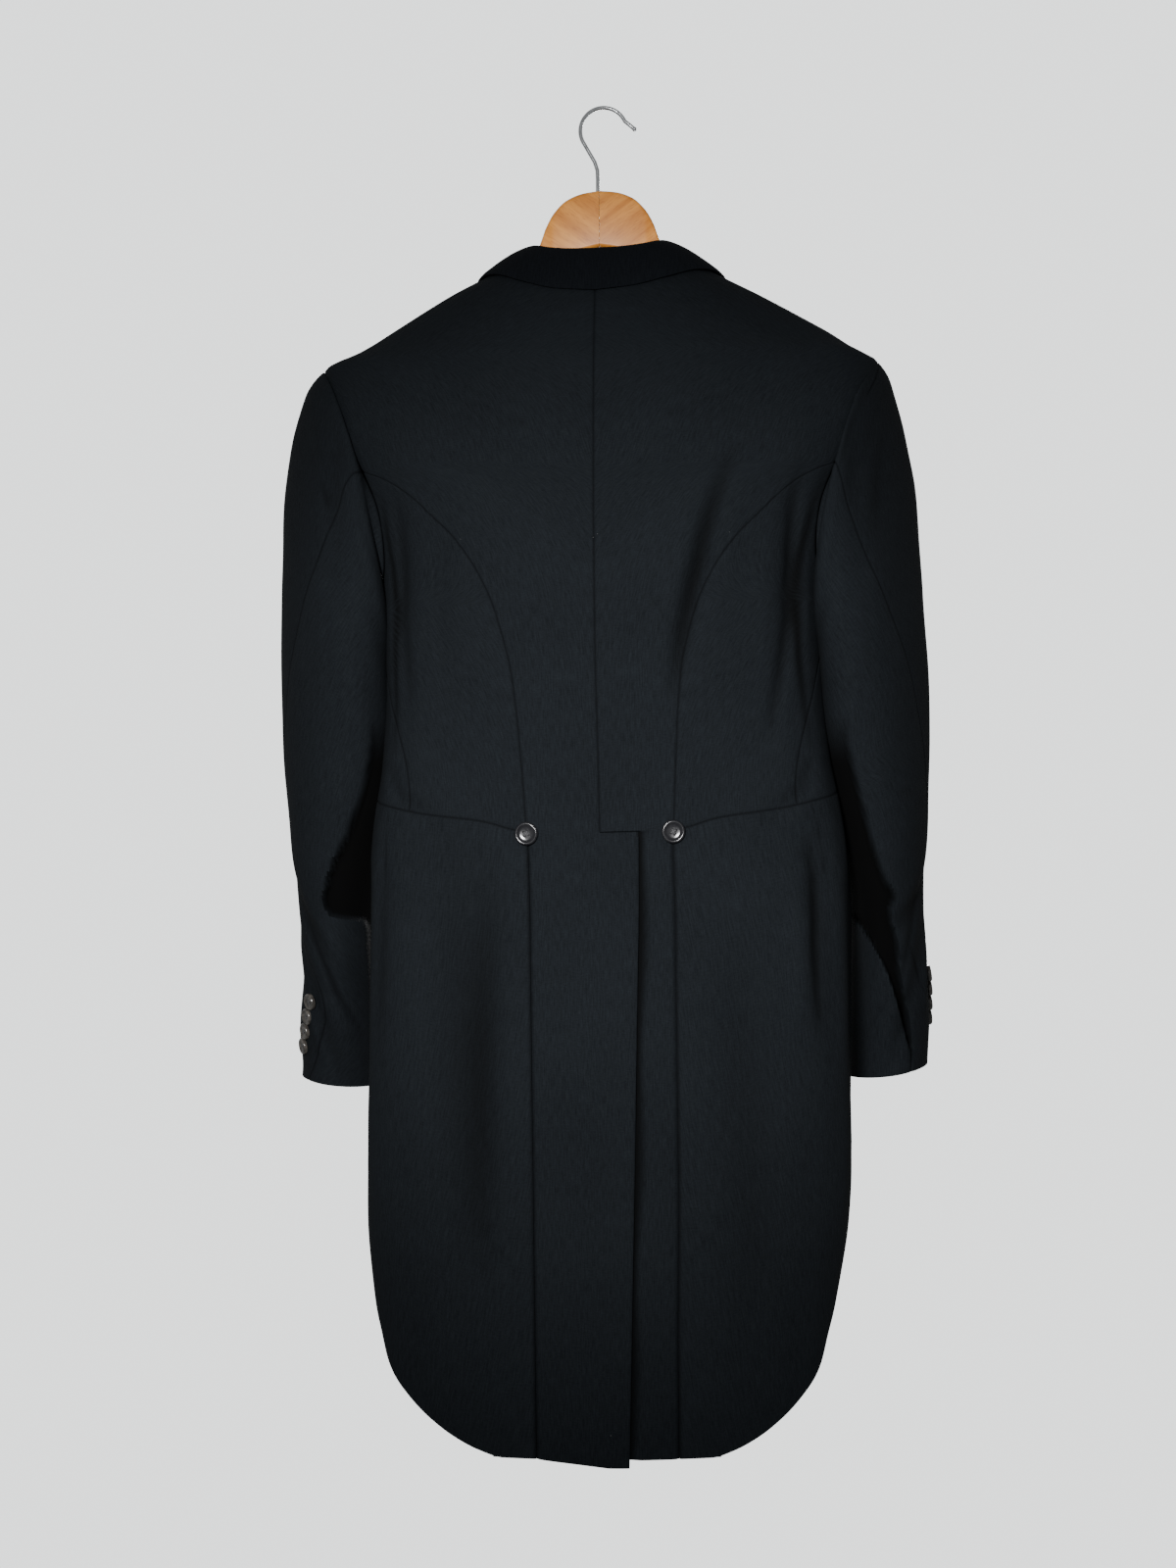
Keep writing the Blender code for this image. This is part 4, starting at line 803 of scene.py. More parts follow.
def back_skirt(side, cells, seam_column, pleat_column):
    """The back below the waist, with the vent's lap and the pleat's underlap."""
    steps = int(round((WAIST_Z - PLEAT_HEM) / STEP))
    down = (np.arange(steps + 1) / steps)[:, None]
    vent = VENT_TOP_X + (VENT_HEM_X - VENT_TOP_X) * down
    rows = [back_knots(side, edge) for edge in vent[:, 0]]
    x = np.array([between(places, cells) for places, _ in rows])
    out = np.array([between(lifts, cells) for _, lifts in rows])
    column = np.arange(x.shape[1])[None, :]
    ledge = VENT_LEDGE_DROP * (1 - column / seam_column)
    head = WAIST_Z - np.where(column < seam_column, ledge, 0.0)
    head = head - np.where(column > pleat_column, UNDERLAP_DROP, 0.0)
    hem = BACK_HEM_LEFT if side == "left" else BACK_HEM_RIGHT
    foot = hem + (PLEAT_HEM - hem) * np.clip(x / BACK_EDGE_X, 0.0, 1.0)
    z = head + (foot - head) * down
    from_edge = np.abs(x - x[:, :1])
    # Painted shade along the vent's edge and along the pleat's edge
    seam = 0.6 * np.where(column <= seam_column, beside(from_edge, SEAM_SHADE_WIDTH), 0.0)
    from_pleat = np.abs(x - x[:, pleat_column:pleat_column + 1])
    seam = np.maximum(seam, beside(from_pleat, PLEAT_SHADE_WIDTH))
    grid, hollow = body_grid(side, turn_at_x(x, z), z, out)
    if side == "right":
        # Painted shadow: the cloth next to the vent's laid-over edge is darkened, where the edge
        # keeps the light off it
        past = x - vent
        wide = VENT_SHADE * (1 + 0.7 * np.sin(down * VENT_SHADE_WAVES) ** 2)
        hollow = hollow + 0.95 * ease(past, -2 * MM, 0.0) * (1 - ease(past, 0.0, wide))
    return grid, seam, hollow


def make_back(side):
    """The back panel, cut in one from the neck to the tail's hem."""
    cells = back_cells(side)
    seam_column, pleat_column = sum(cells[:SEAM_KNOT]), sum(cells[:PLEAT_KNOT])
    panel = slice(seam_column, pleat_column + 1)
    places = between(back_knots(side, VENT_TOP_X)[0], cells)[panel]
    top = back_bodice(side, (places - places[0]) / (places[-1] - places[0]))
    low = back_skirt(side, cells, seam_column, pleat_column)
    rows_top = len(top[0])
    # One grid for both, whose cells beside the bodice are left out
    shape = (rows_top + len(low[0]), low[0].shape[1])
    grid = np.zeros((*shape, 3))
    grid[:rows_top] = low[0][0]
    seam, hollow = np.zeros(shape), np.zeros(shape)
    for whole, above, below in zip((grid, seam, hollow), top, low):
        whole[rows_top:] = below
        whole[:rows_top, panel] = above
    missing = np.zeros((shape[0] - 1, shape[1] - 1), dtype=bool)
    missing[:rows_top, :seam_column] = True
    missing[:rows_top, pleat_column:] = True
    add_sheet("coat_back_" + side, grid, away, WOOL, ["back_" + side],
              missing=missing, seam=seam, hollow=hollow)


def make_skirt(side):
    """The skirt, from the back pleat round to the cutaway front edge."""
    pleat = turn_at_x(PLEAT_EDGE_X, WAIST_Z)
    edge = front_edge_turn(np.array(WAIST_Z))
    turns = pleat + (edge - pleat) * fine_spread(0.40)
    head = WAIST_SEAM.at("z", turns)
    foot = HEM.at("z", turns)
    down = np.linspace(0.0, 1.0, SKIRT_ROWS + 1)[:, None]
    z = head + (foot - head) * down
    # The first rows lie close to the waist seam, and the next few spread out from them
    close = len(NEAR_SEAM)
    for k in range(1, close):
        z[k] = head - NEAR_SEAM[k]
    settled = close + SKIRT_SPREAD_ROWS
    for k in range(close, settled):
        t = (k - close + 1) / (SKIRT_SPREAD_ROWS + 1)
        z[k] = z[close - 1] * (1 - t) + (head + (foot - head) * down[settled]) * t
    # The columns by the pleat follow its edge straight down
    turn = np.broadcast_to(turns, z.shape).copy()
    turn[:, 0] = turn_at_x(PLEAT_EDGE_X, z[:, 0])
    keep = ease(np.arange(turn.shape[1])[None, :], 0, PLEAT_COLUMNS)
    turn = turn * keep + (turn[:, :1] + (turns - turns[0])[None, :]) * (1 - keep)
    left, _ = edge_distance(body_point(turn, z))
    # The cloth dips at the pleat's edge and at the waist seam, and painted shade lines both, wider
    # along the pleat
    roll, seam = rolled([left * 1.3, np.abs(z - z[:1])])
    seam = np.maximum(seam, beside(left, PLEAT_SHADE_WIDTH))
    grid, hollow = body_grid(side, turn, z, -roll)
    # The skirt's dart, from the waist seam down, painted as a line of shade
    far, _ = path_distance(turn * BODY_RUN, z, [(a * BODY_RUN, b) for a, b in DARTS[side]])
    seam = np.maximum(seam, 0.7 * beside(far, DART_WIDTH))
    add_sheet("coat_skirt_" + side, grid, away, WOOL, ["skirt_" + side],
              seam=seam, hollow=hollow)


def make_lapel(side):
    """The lapel; its first columns roll round the front edge, so it grows out of the front."""
    down = np.linspace(0.0, 1.0, LAPEL_ROWS + 1)[:, None]
    across = np.linspace(0.0, 1.0, LAPEL_COLUMNS + 1)
    across = np.concatenate([np.zeros(LAPEL_EDGE_COLUMNS), across])[None, :]
    crease_z = LAPEL_TOP_Z + (LAPEL_FOOT_Z - LAPEL_TOP_Z) * down
    crease_x = FRONT_EDGE.at("x", crease_z)
    x = crease_x + (LAPEL.at("x", down) - crease_x) * across
    z = crease_z + (LAPEL.at("z", down) - crease_z) * across
    roll = LAPEL_ROLL * np.sin(np.pi * across) * (1 - down)
    rise = (LAPEL_LIFT - LAPEL_CREASE_LIFT) * np.minimum(across * 3, 1.0)
    radius = WALL + LAPEL_CREASE_LIFT
    turned = np.linspace(math.pi * 0.95, math.pi * 0.15, LAPEL_EDGE_COLUMNS)
    turned = np.concatenate([turned, np.zeros(LAPEL_COLUMNS + 1)])[None, :] * (1 - down ** 6)
    x = x - radius * np.sin(turned)
    lift = np.where(across == 0, radius * np.cos(turned), radius + rise + roll)
    grid, _ = body_grid(side, turn_at_x(x, z, front=True), z, lift)
    add_sheet("coat_lapel_" + side, grid, away, WOOL_COLLAR, ["lapel_" + side])


def collar_fold(along):
    return np.stack([COLLAR.at(name, along) for name in ("fold_x", "fold_y", "fold_z")], axis=-1)


def collar_outward(along):
    ahead = collar_fold(np.minimum(along + 0.01, 1.0)) - collar_fold(np.maximum(along - 0.01, 0.0))
    outward = np.stack([-ahead[..., 1], ahead[..., 0], np.zeros(along.shape)], axis=-1)
    flip = np.sign((outward * collar_fold(along)).sum(axis=-1))
    return unit(outward * np.where(flip == 0, 1, flip)[..., None])


def fall_points(along, down):
    fold = collar_fold(along)
    turn = COLLAR.at("edge_turn", along)
    z = COLLAR.at("edge_z", along)
    edge = body_point(turn, z) + body_normal(turn, z) * FALL_LIFT
    slope = edge - fold
    level = collar_outward(along)
    up = np.zeros(slope.shape)
    up[..., 2] = 1.0
    outward = unit(level * -slope[..., 2:] + up * (slope * level).sum(axis=-1, keepdims=True))
    bulge = FALL_BULGE * np.sin(np.pi * down ** 0.8) - FALL_EDGE_DROP * beside(1 - down, 0.05)
    return fold + slope * down[..., None] + outward * bulge[..., None]


def stand_points(along, up):
    turn = COLLAR.at("neck_turn", along)
    z = row_height(np.full(turn.shape, NECK_Z), turn)
    foot = body_point(turn, z) - body_normal(turn, z) * (WALL + STAND_CLEAR)
    head = collar_fold(along) - collar_outward(along) * STAND_INSET - np.array([0, 0, MM])
    return foot + (head - foot) * up[..., None]


def make_collar():
    """The fall and the stand, each in one from the right front end round to the left one."""
    half = np.linspace(0.0, 1.0, COLLAR_CELLS + 1)
    for name, points, reach, rows, thick in (("fall", fall_points, 1.0, 22, CLOTH),
                                             ("stand", stand_points, STAND_REACH, 12, STAND_DEPTH)):
        down = np.linspace(0.0, 1.0, rows + 1)[:, None]
        sides = []
        for side, along in (("right", half[::-1]), ("left", half[1:])):
            sides.append(hang(points(*np.broadcast_arrays(along[None, :] * reach, down)), side))
        add_sheet("coat_collar_" + name, np.concatenate(sides, axis=1), away, WOOL_COLLAR,
                  ["collar_" + name],
                  thickness=thick)


def ring_values(side, ring):
    zero = np.zeros(ring.shape)
    outer = np.stack([SLEEVE.at("outer_x", ring) + ARM_SPREAD.at(side + "_outer", ring), zero,
                      SLEEVE.at("outer_z", ring)], axis=-1)
    inner = np.stack([SLEEVE.at("inner_x", ring) + ARM_SPREAD.at(side + "_inner", ring), zero,
                      SLEEVE.at("inner_z", ring)], axis=-1)
    middle = (outer + inner) / 2
    middle[..., 1] += SLEEVE.at("middle_y", ring)
    depth = np.stack([-SLEEVE.at("skew", ring), SLEEVE.at("half_deep", ring), zero], axis=-1)
    return middle, (outer - inner) / 2, depth


def sleeve_point(side, ring, turn):
    middle, rise, depth = ring_values(side, ring)
    angle = np.radians(turn)[..., None]
    return middle + rise * np.sin(angle) + depth * np.cos(angle)


def sleeve_knots(side):
    """The sleeve's points at the armhole and at each ring, and the turn of each of them."""
    level = np.array(HOLE_LEVELS)
    turn = np.concatenate([armhole_turn(level, "back_y"), armhole_turn(level[-2:0:-1], "front_y")])
    z = np.concatenate([level, level[-2:0:-1]])
    hole = body_point(turn, z)
    normal = body_normal(turn, z)
    run = np.roll(hole, -1, axis=0) - np.roll(hole, 1, axis=0)
    into = unit(np.cross(normal, run))
    inward = np.sign((into * (hole.mean(axis=0) - hole)).sum(axis=-1))
    edge = hole + into * inward[:, None] * HOLE_CLEAR
    middle, rise, depth = ring_values(side, np.array(1.0))
    from_middle = hole - middle
    start = np.degrees(np.arctan2(from_middle @ rise / (rise @ rise), from_middle[:, 1] / depth[1]))
    for k in range(1, RING_POINTS):
        while start[k] > start[k - 1]:
            start[k] -= 360.0
    points = np.zeros((SLEEVE_RINGS + 1, RING_POINTS, 3))
    turns = np.zeros((SLEEVE_RINGS + 1, RING_POINTS))
    points[0] = edge
    turns[0] = start
    places = np.arange(RING_POINTS)
    for ring in range(1, SLEEVE_RINGS + 1):
        settled = ease(ring, 0.0, SLEEVE_SETTLES)
        own = start - start[REAR_SEAM]
        even = -360.0 / RING_POINTS * (places - REAR_SEAM)
        turns[ring] = SLEEVE.at(side + "_seam", float(ring)) + own + (even - own) * settled
        points[ring] = sleeve_point(side, np.full(RING_POINTS, float(ring)), turns[ring])
    return points, turns


def smooth_weights(count, at, closed):
    """Weights of a smooth curve through count knots, at the given places."""
    weights = np.zeros((len(at), count))
    for row, place in enumerate(at):
        i = int(math.floor(place))
        if not closed:
            i = min(i, count - 2)
        t = place - i
        shares = ((-1, (-t + 2 * t ** 2 - t ** 3) / 2), (0, (2 - 5 * t ** 2 + 3 * t ** 3) / 2),
                  (1, (t + 4 * t ** 2 - 3 * t ** 3) / 2), (2, (-t ** 2 + t ** 3) / 2))
        for offset, share in shares:
            k = (i + offset) % count if closed else min(max(i + offset, 0), count - 1)
            weights[row, k] += share
    return weights


def grid_turns(turns, rings, around):
    """The turn at each point of a sleeve's grid, unwound, so it keeps its order round the arm."""
    wide = np.concatenate([turns, turns[:, :REAR_SEAM + 1] - 360.0], axis=1)
    place = np.clip(around, 0, wide.shape[1] - 1)
    low = np.minimum(place.astype(int), wide.shape[1] - 2)
    part = place - low
    knots = wide[:, low] * (1 - part) + wide[:, low + 1] * part
    return np.stack([np.interp(rings, np.arange(SLEEVE_RINGS + 1), column) for column in knots.T],
                    axis=-1)


def make_sleeve(side):
    """The top sleeve and the under sleeve, on a smooth surface through the rings."""
    points, turns = sleeve_knots(side)
    rings = np.concatenate([CLOSE_RINGS, np.linspace(*EVEN_RINGS), CUFF_RINGS])
    ring = rings[:, None]
    down = smooth_weights(SLEEVE_RINGS + 1, rings, False)
    spine, _, _ = ring_values(side, np.maximum(rings, 1.0))
    hung_spine = hang(spine, side, sleeve=True)

    def outward(point):
        return point - hung_spine[np.argmin(np.linalg.norm(hung_spine - point, axis=-1))]

    near = CLOSE_POINTS
    for name, first, last in (("undersleeve", REAR_SEAM, FORE_SEAM),
                              ("topsleeve", FORE_SEAM, RING_POINTS + REAR_SEAM)):
        cells = (last - first) * POINT_CELLS
        inside = np.linspace(first + near[-1], last - near[-1], cells - 1)[1:-1]
        around = np.concatenate([[first + part for part in near], inside,
                                 [last - part for part in reversed(near)]])
        across = smooth_weights(RING_POINTS, around, True)
        grid = np.einsum("rk,kjx,cj->rcx", down, points, across)
        turn = grid_turns(turns, rings, around)
        start, end = edge_distance(grid)
        normal = unit(np.cross(np.gradient(grid, axis=0), np.gradient(grid, axis=1)))
        normal *= np.sign((normal * (grid - spine[:, None, :])).sum(axis=-1).mean())
        roll, seam = rolled([start, end, np.linalg.norm(grid - grid[:1], axis=-1)])
        angle = (turn + 180.0) % 360.0 - 180.0
        laid_down = np.broadcast_to(ring * RING_RUN, angle.shape)
        sunk, hollow = fold_sum(SLEEVE_FOLDS[side], angle * SLEEVE_RUN, laid_down,
                                lambda a, b: (b * SLEEVE_RUN, a * RING_RUN))
        sunk *= ease(ring, 0.2, 1.2)
        ripple = 0.4 * MM * np.sin(np.radians(angle) * 5 + ring * 1.9) * np.sin(ring * 2.3)
        out = WALL * ease(ring, 0.0, 1.6) + ripple * ease(ring, 0.3, 2.0) - sunk - roll
        grid = hang(grid + normal * out[..., None], side, sleeve=True)
        # Creases and the elbow's hollow lie on the side that is seen from behind; both are sunk,
        # and painted dark as shade
        behind = ease(np.cos(np.radians(turn)), 0.0, 0.3)
        crease, dark = fold_sum(ARM_CREASES[side], grid[..., 0], grid[..., 2],
                                lambda a, b: (a, b))
        elbow = elbow_hollow(side, grid, turn)
        grid[..., 1] -= crease * behind + ELBOW_DEPTH * elbow
        hollow = np.maximum(hollow * ease(ring, 0.2, 1.2) + dark * behind, elbow)
        add_sheet("coat_" + name + "_" + side, grid, outward, WOOL, [name + "_" + side],
                  seam=seam, hollow=hollow)


# Materials

class Wiring:
    """Adds nodes to a tree and joins them. A node's output is written as (node, output)."""

    def __init__(self, tree):
        self.tree = tree

    def fill(self, node, inputs):
        """Gives inputs their values, or joins them to other nodes' outputs."""
        for entry, value in inputs.items():
            if isinstance(value, tuple) and isinstance(value[0], bpy.types.Node):
                self.tree.links.new(value[0].outputs[value[1]], node.inputs[entry])
            else:
                node.inputs[entry].default_value = value

    def add(self, kind, inputs=None, **settings):
        node = self.tree.nodes.new(kind)
        for name, value in settings.items():
            setattr(node, name, value)
        self.fill(node, inputs or {})
        return node

    def group(self, tree, **inputs):
        return self.add("ShaderNodeGroup", inputs, node_tree=tree)

    def place(self):
        return (self.add("ShaderNodeTexCoord"), "Object")

    def attribute(self, name):
        return (self.add("ShaderNodeAttribute", attribute_name=name), "Fac")

    def mapped(self, place, **values):
        return (self.add("ShaderNodeMapping", {"Vector": place, **values}), "Vector")

    def noise(self, place, scale, **values):
        return (self.add("ShaderNodeTexNoise", {"Vector": place, "Scale": scale, **values}), "Fac")

    def math(self, operation, first, second):
        return (self.add("ShaderNodeMath", {0: first, 1: second}, operation=operation), 0)

    def blend(self, first, second, share):
        """The second value's share, and the rest of the first."""
        return self.math("ADD", self.math("MULTIPLY", first, 1 - share),
                         self.math("MULTIPLY", second, share))

    def mixed(self, share, first, second, blend_type="MIX"):
        return (self.add("ShaderNodeMix", {0: share, 6: first, 7: second}, data_type="RGBA",
                         blend_type=blend_type), 2)

    def ramp(self, value, low, high, start=0.0, end=1.0):
        """A colour that goes from low to high while the value goes from start to end."""
        node = self.add("ShaderNodeValToRGB", {"Fac": value})
        stops = node.color_ramp.elements
        stops[0].position, stops[1].position = start, end
        stops[0].color, stops[1].color = (*low, 1.0), (*high, 1.0)
        return (node, "Color")

    def bump(self, height, strength, distance):
        return (self.add("ShaderNodeBump", {"Height": height, "Strength": strength,
                                            "Distance": distance}), "Normal")


def start_group(name, inputs, outputs):
    """A node group with named inputs and outputs: its wiring and its two end nodes."""
    group = bpy.data.node_groups.new(name, "ShaderNodeTree")
    for way, sockets in (("INPUT", inputs), ("OUTPUT", outputs)):
        for label, kind in sockets.items():
            group.interface.new_socket(label, in_out=way, socket_type="NodeSocket" + kind)
    w = Wiring(group)
    return w, w.add("NodeGroupInput"), w.add("NodeGroupOutput")


def make_weave_group():
    """Fine wool cloth: threads down and across, slubs, and a few specks of lint."""
    w, entry, out = start_group("wool_weave", {"Place": "Vector"},
                                {"Shade": "Float", "Height": "Float", "Lint": "Float"})
    place = (entry, "Place")

    def streaks(across, down, detail, roughness):
        return w.noise(w.mapped(place, Scale=(across, down, 1.0)), 1.0, Detail=detail,
                       Roughness=roughness)

    warp = streaks(900.0, 90.0, 2.0, 0.6)
    weft = streaks(300.0, 900.0, 2.0, 0.6)
    fine = streaks(1500.0, 1500.0, 1.0, 0.5)
    threads = w.blend(w.blend(warp, weft, 0.38), fine, 0.2)
    cloud = streaks(7.0, 5.0, 3.0, 0.55)
    speck = w.add("ShaderNodeTexVoronoi", {"Vector": place, "Scale": 26.0})
    lint = w.math("LESS_THAN", (speck, "Distance"), 0.010)
    w.fill(out, {"Shade": w.blend(threads, cloud, 0.2), "Height": threads, "Lint": lint})
    return w.tree


def make_shadow_group():
    """Painted shade: the cloth's colour is darkened in the line of a seam, and far more deep in a
    fold, where shade falls.
    """
    w, entry, out = start_group("cloth_shadow",
                                {"Colour": "Color", "Seam": "Float", "Hollow": "Float"},
                                {"Colour": "Color"})
    lined = w.mixed((entry, "Seam"), (entry, "Colour"), (0.38, 0.38, 0.40, 1.0), "MULTIPLY")
    deep = w.mixed((entry, "Hollow"), lined, (0.015, 0.015, 0.02, 1.0), "MULTIPLY")
    w.fill(out, {"Colour": deep})
    return w.tree


def make_swirl_group():
    """The slow swirl in horn, from its dark tone to its light one."""
    w, entry, out = start_group("horn_swirl", {"Place": "Vector"}, {"Tone": "Float"})
    w.fill(out, {"Tone": w.noise((entry, "Place"), 160.0, Detail=3.0, Distortion=1.2)})
    return w.tree


def make_wear_group():
    """Fine wear of a polished face, and how rough it makes it."""
    w, entry, out = start_group("polish_wear",
                                {"Place": "Vector", "Scale": "Float", "Detail": "Float",
                                 "Smooth": "Float", "Rough": "Float"},
                                {"Wear": "Float", "Roughness": "Float"})
    wear = w.noise((entry, "Place"), (entry, "Scale"), Detail=(entry, "Detail"))
    spread = w.add("ShaderNodeMapRange", {"Value": wear, "To Min": (entry, "Smooth"),
                                          "To Max": (entry, "Rough")})
    w.fill(out, {"Wear": wear, "Roughness": (spread, "Result")})
    return w.tree


def make_grain_group():
    """Beech's grain, long along X, and its short dark flecks."""
    w, entry, out = start_group("beech_grain", {"Place": "Vector"},
                                {"Grain": "Float", "Fleck": "Float"})
    place = (entry, "Place")
    grain = w.noise(w.mapped(place, Scale=(9.0, 60.0, 95.0)), 1.0, Detail=6.0, Roughness=0.6,
                    Distortion=0.6)
    fleck = w.noise(w.mapped(place, Scale=(140.0, 700.0, 900.0)), 1.0, Detail=2.0)
    faded = w.add("ShaderNodeMapRange", {"Value": fleck, "From Min": 0.52, "From Max": 0.72,
                                         "To Max": 0.5})
    w.fill(out, {"Grain": grain, "Fleck": (faded, "Result")})
    return w.tree


WEAVE = make_weave_group()
SHADOW = make_shadow_group()
SWIRL = make_swirl_group()
WEAR = make_wear_group()
GRAIN = make_grain_group()


def start_material(name):
    material = bpy.data.materials.new(name)
    material.use_nodes = True
    return material, Wiring(material.node_tree), material.node_tree.nodes["Principled BSDF"]


def wool(name, dark, light):
    """Dull black wool, whose threads follow the flat cloth."""
    material, w, shader = start_material(name)
    weave = w.group(WEAVE, Place=(w.add("ShaderNodeUVMap", uv_map="cloth"), "UV"))
    cloth = w.ramp((weave, "Shade"), dark, light, 0.36, 0.66)
    # Painted shade: the colour is darkened along seams and deep in folds
    shadow = w.group(SHADOW, Colour=cloth, Seam=w.attribute("seam"), Hollow=w.attribute("hollow"))
    linted = w.mixed((weave, "Lint"), (shadow, "Colour"), (0.035, 0.035, 0.036, 1.0))
    w.fill(shader, {"Base Color": linted, "Normal": w.bump((weave, "Height"), 0.55, 0.0006),
                    "Roughness": 0.92, "Specular IOR Level": 0.06})
    return material


def horn(name, dark, light, roughness, specular):
    """Polished horn with a slow swirl of tone and fine scratches."""
    material, w, shader = start_material(name)
    place = w.place()
    swirl = w.group(SWIRL, Place=place)
    scratched = w.group(WEAR, Place=place, Scale=900.0, Detail=2.0, Smooth=roughness * 0.8,
                        Rough=roughness * 1.3)
    w.fill(shader, {"Base Color": w.ramp((swirl, "Tone"), dark, light, 0.35, 0.70),
                    "Roughness": (scratched, "Roughness"), "Specular IOR Level": specular})
    return material


def sewing_thread():
    material, w, shader = start_material("button_thread")
    twist = w.noise(w.place(), 2500.0)
    w.fill(shader, {"Base Color": w.ramp(twist, (0.008, 0.008, 0.009), (0.030, 0.030, 0.032)),
                    "Roughness": 0.8})
    return material


def beech(name, lean):
    """Lacquered beech whose grain leans away from the hanger's middle joint."""
    material, w, shader = start_material(name)
    grain = w.group(GRAIN, Place=w.mapped(w.place(), Rotation=(0.0, lean, 0.0)))
    tone = w.ramp((grain, "Grain"), (0.44, 0.146, 0.016), (0.72, 0.298, 0.052), 0.30, 0.72)
    flecked = w.mixed((grain, "Fleck"), tone, (0.62, 0.50, 0.40, 1.0), "MULTIPLY")
    w.fill(shader, {"Base Color": flecked, "Normal": w.bump((grain, "Grain"), 0.15, 0.0003),
                    "Roughness": 0.42, "Specular IOR Level": 0.25, "Coat Weight": 0.10,
                    "Coat Roughness": 0.25})
    return material


def chrome():
    """Bright plated wire, a little worn."""
    material, w, shader = start_material("chrome_wire")
    worn = w.group(WEAR, Place=w.place(), Scale=320.0, Detail=3.0, Smooth=0.10, Rough=0.30)
    tone = w.ramp((worn, "Wear"), (0.30, 0.30, 0.31), (0.52, 0.53, 0.54))
    w.fill(shader, {"Base Color": tone, "Roughness": (worn, "Roughness"), "Metallic": 1.0})
    return material


WOOL = wool("black_wool", (0.0018, 0.0023, 0.0030), (0.0056, 0.0070, 0.0086))
WOOL_COLLAR = wool("black_wool_collar", (0.0009, 0.0012, 0.0018), (0.0030, 0.0038, 0.0051))
HORN_BLACK = horn("horn_black", (0.004, 0.004, 0.005), (0.009, 0.009, 0.010), 0.17, 0.24)
HORN_GREY = horn("horn_grey", (0.012, 0.011, 0.010), (0.050, 0.045, 0.040), 0.19, 0.38)
THREAD = sewing_thread()


# Buttons

# Radius, height, and radius of a hole
BACK_BUTTON = (9.75 * MM, 4.2 * MM, 1.0 * MM)
CUFF_BUTTON = (7.3 * MM, 3.6 * MM, 0.85 * MM)
# How far the holes lie from the middle, as a share of the radius
HOLE_REACH = 0.24


def turned_button(name, radius, height, hole, material):
    """A button turned from a flat blank: a sunk face, a raised round rim and four holes."""
    bpy.ops.object.select_all(action="DESELECT")
    bpy.ops.mesh.primitive_cylinder_add(vertices=64, radius=radius, depth=height * 0.7,
                                        location=(0, 0, height * 0.35))
    blank = bpy.context.active_object
    blank.name = name
    mesh = blank.data
    bpy.ops.object.transform_apply(location=True, rotation=True, scale=True)

    def select_end(up):
        bpy.ops.object.mode_set(mode="EDIT")
        shape = bmesh.from_edit_mesh(mesh)
        for face in shape.faces:
            face.select_set(len(face.verts) > 8 and face.normal.z * up > 0.9)
        bmesh.update_edit_mesh(mesh)

    select_end(1)
    bpy.ops.mesh.inset(thickness=radius * 0.10, depth=height * 0.30)
    bpy.ops.mesh.inset(thickness=radius * 0.12, depth=0.0)
    bpy.ops.mesh.inset(thickness=radius * 0.16, depth=-height * 0.34)
    bpy.ops.mesh.inset(thickness=radius * 0.10, depth=-height * 0.05)
    bpy.ops.object.mode_set(mode="OBJECT")
    select_end(-1)
    bpy.ops.mesh.inset(thickness=radius * 0.22, depth=height * 0.12)
    bpy.ops.object.mode_set(mode="OBJECT")
    apply_modifier(blank, "BEVEL", width=radius * 0.05, segments=3, limit_method="ANGLE",
                   angle_limit=math.radians(20))
    for k in range(4):
        angle = math.pi / 4 + math.pi / 2 * k
        bpy.ops.object.select_all(action="DESELECT")
        at = (math.cos(angle) * radius * HOLE_REACH, math.sin(angle) * radius * HOLE_REACH, 0.0)
        bpy.ops.mesh.primitive_cylinder_add(vertices=20, radius=hole, depth=height * 4, location=at)
        drill = bpy.context.active_object
        apply_modifier(blank, "BOOLEAN", operation="DIFFERENCE", solver="EXACT", object=drill)
        bpy.data.objects.remove(drill, do_unlink=True)
    mesh = blank.data
    mesh.shade_smooth()
    mesh.set_sharp_from_angle(angle=math.radians(35))
    mesh.materials.clear()
    mesh.materials.append(material)
    return blank


def thread_cross(name, radius, height):
    """Thread over the four holes of a button, crossed, and going down into the holes."""
    reach = radius * HOLE_REACH
    parts = []
    for turn in (math.pi / 4, -math.pi / 4):
        for offset in (-0.35, 0.35):
            curve = bpy.data.curves.new(name, "CURVE")
            curve.dimensions = "3D"
            curve.bevel_depth = radius * 0.045
            curve.bevel_resolution = 2
            curve.use_fill_caps = True
            line = curve.splines.new("POLY")
            steps = 12
            line.points.add(steps)
            for k in range(steps + 1):
                t = k / steps * 2 - 1
                along = reach * 1.06 * max(min(t * 1.15, 1.0), -1.0)
                # It bows over the face, and goes down into the hole at both ends
                up = height * (0.66 + 0.10 * (1 - t * t))
                up -= height * 0.9 * max(abs(t) - 0.87, 0.0) / 0.13
                side = radius * 0.06 * offset
                x = along * math.cos(turn) - side * math.sin(turn)
                y = along * math.sin(turn) + side * math.cos(turn)
                line.points[k].co = (x, y, up, 1.0)
            part = bpy.data.objects.new(name, curve)
            bpy.context.scene.collection.objects.link(part)
            parts.append(part)
    bpy.ops.object.select_all(action="DESELECT")
    for part in parts:
        part.select_set(True)
    bpy.context.view_layer.objects.active = parts[0]
    bpy.ops.object.convert(target="MESH")
    bpy.ops.object.join()
    cross = bpy.context.active_object
    cross.name = name
    cross.data.materials.clear()
    cross.data.materials.append(THREAD)
    cross.data.shade_smooth()
    return cross


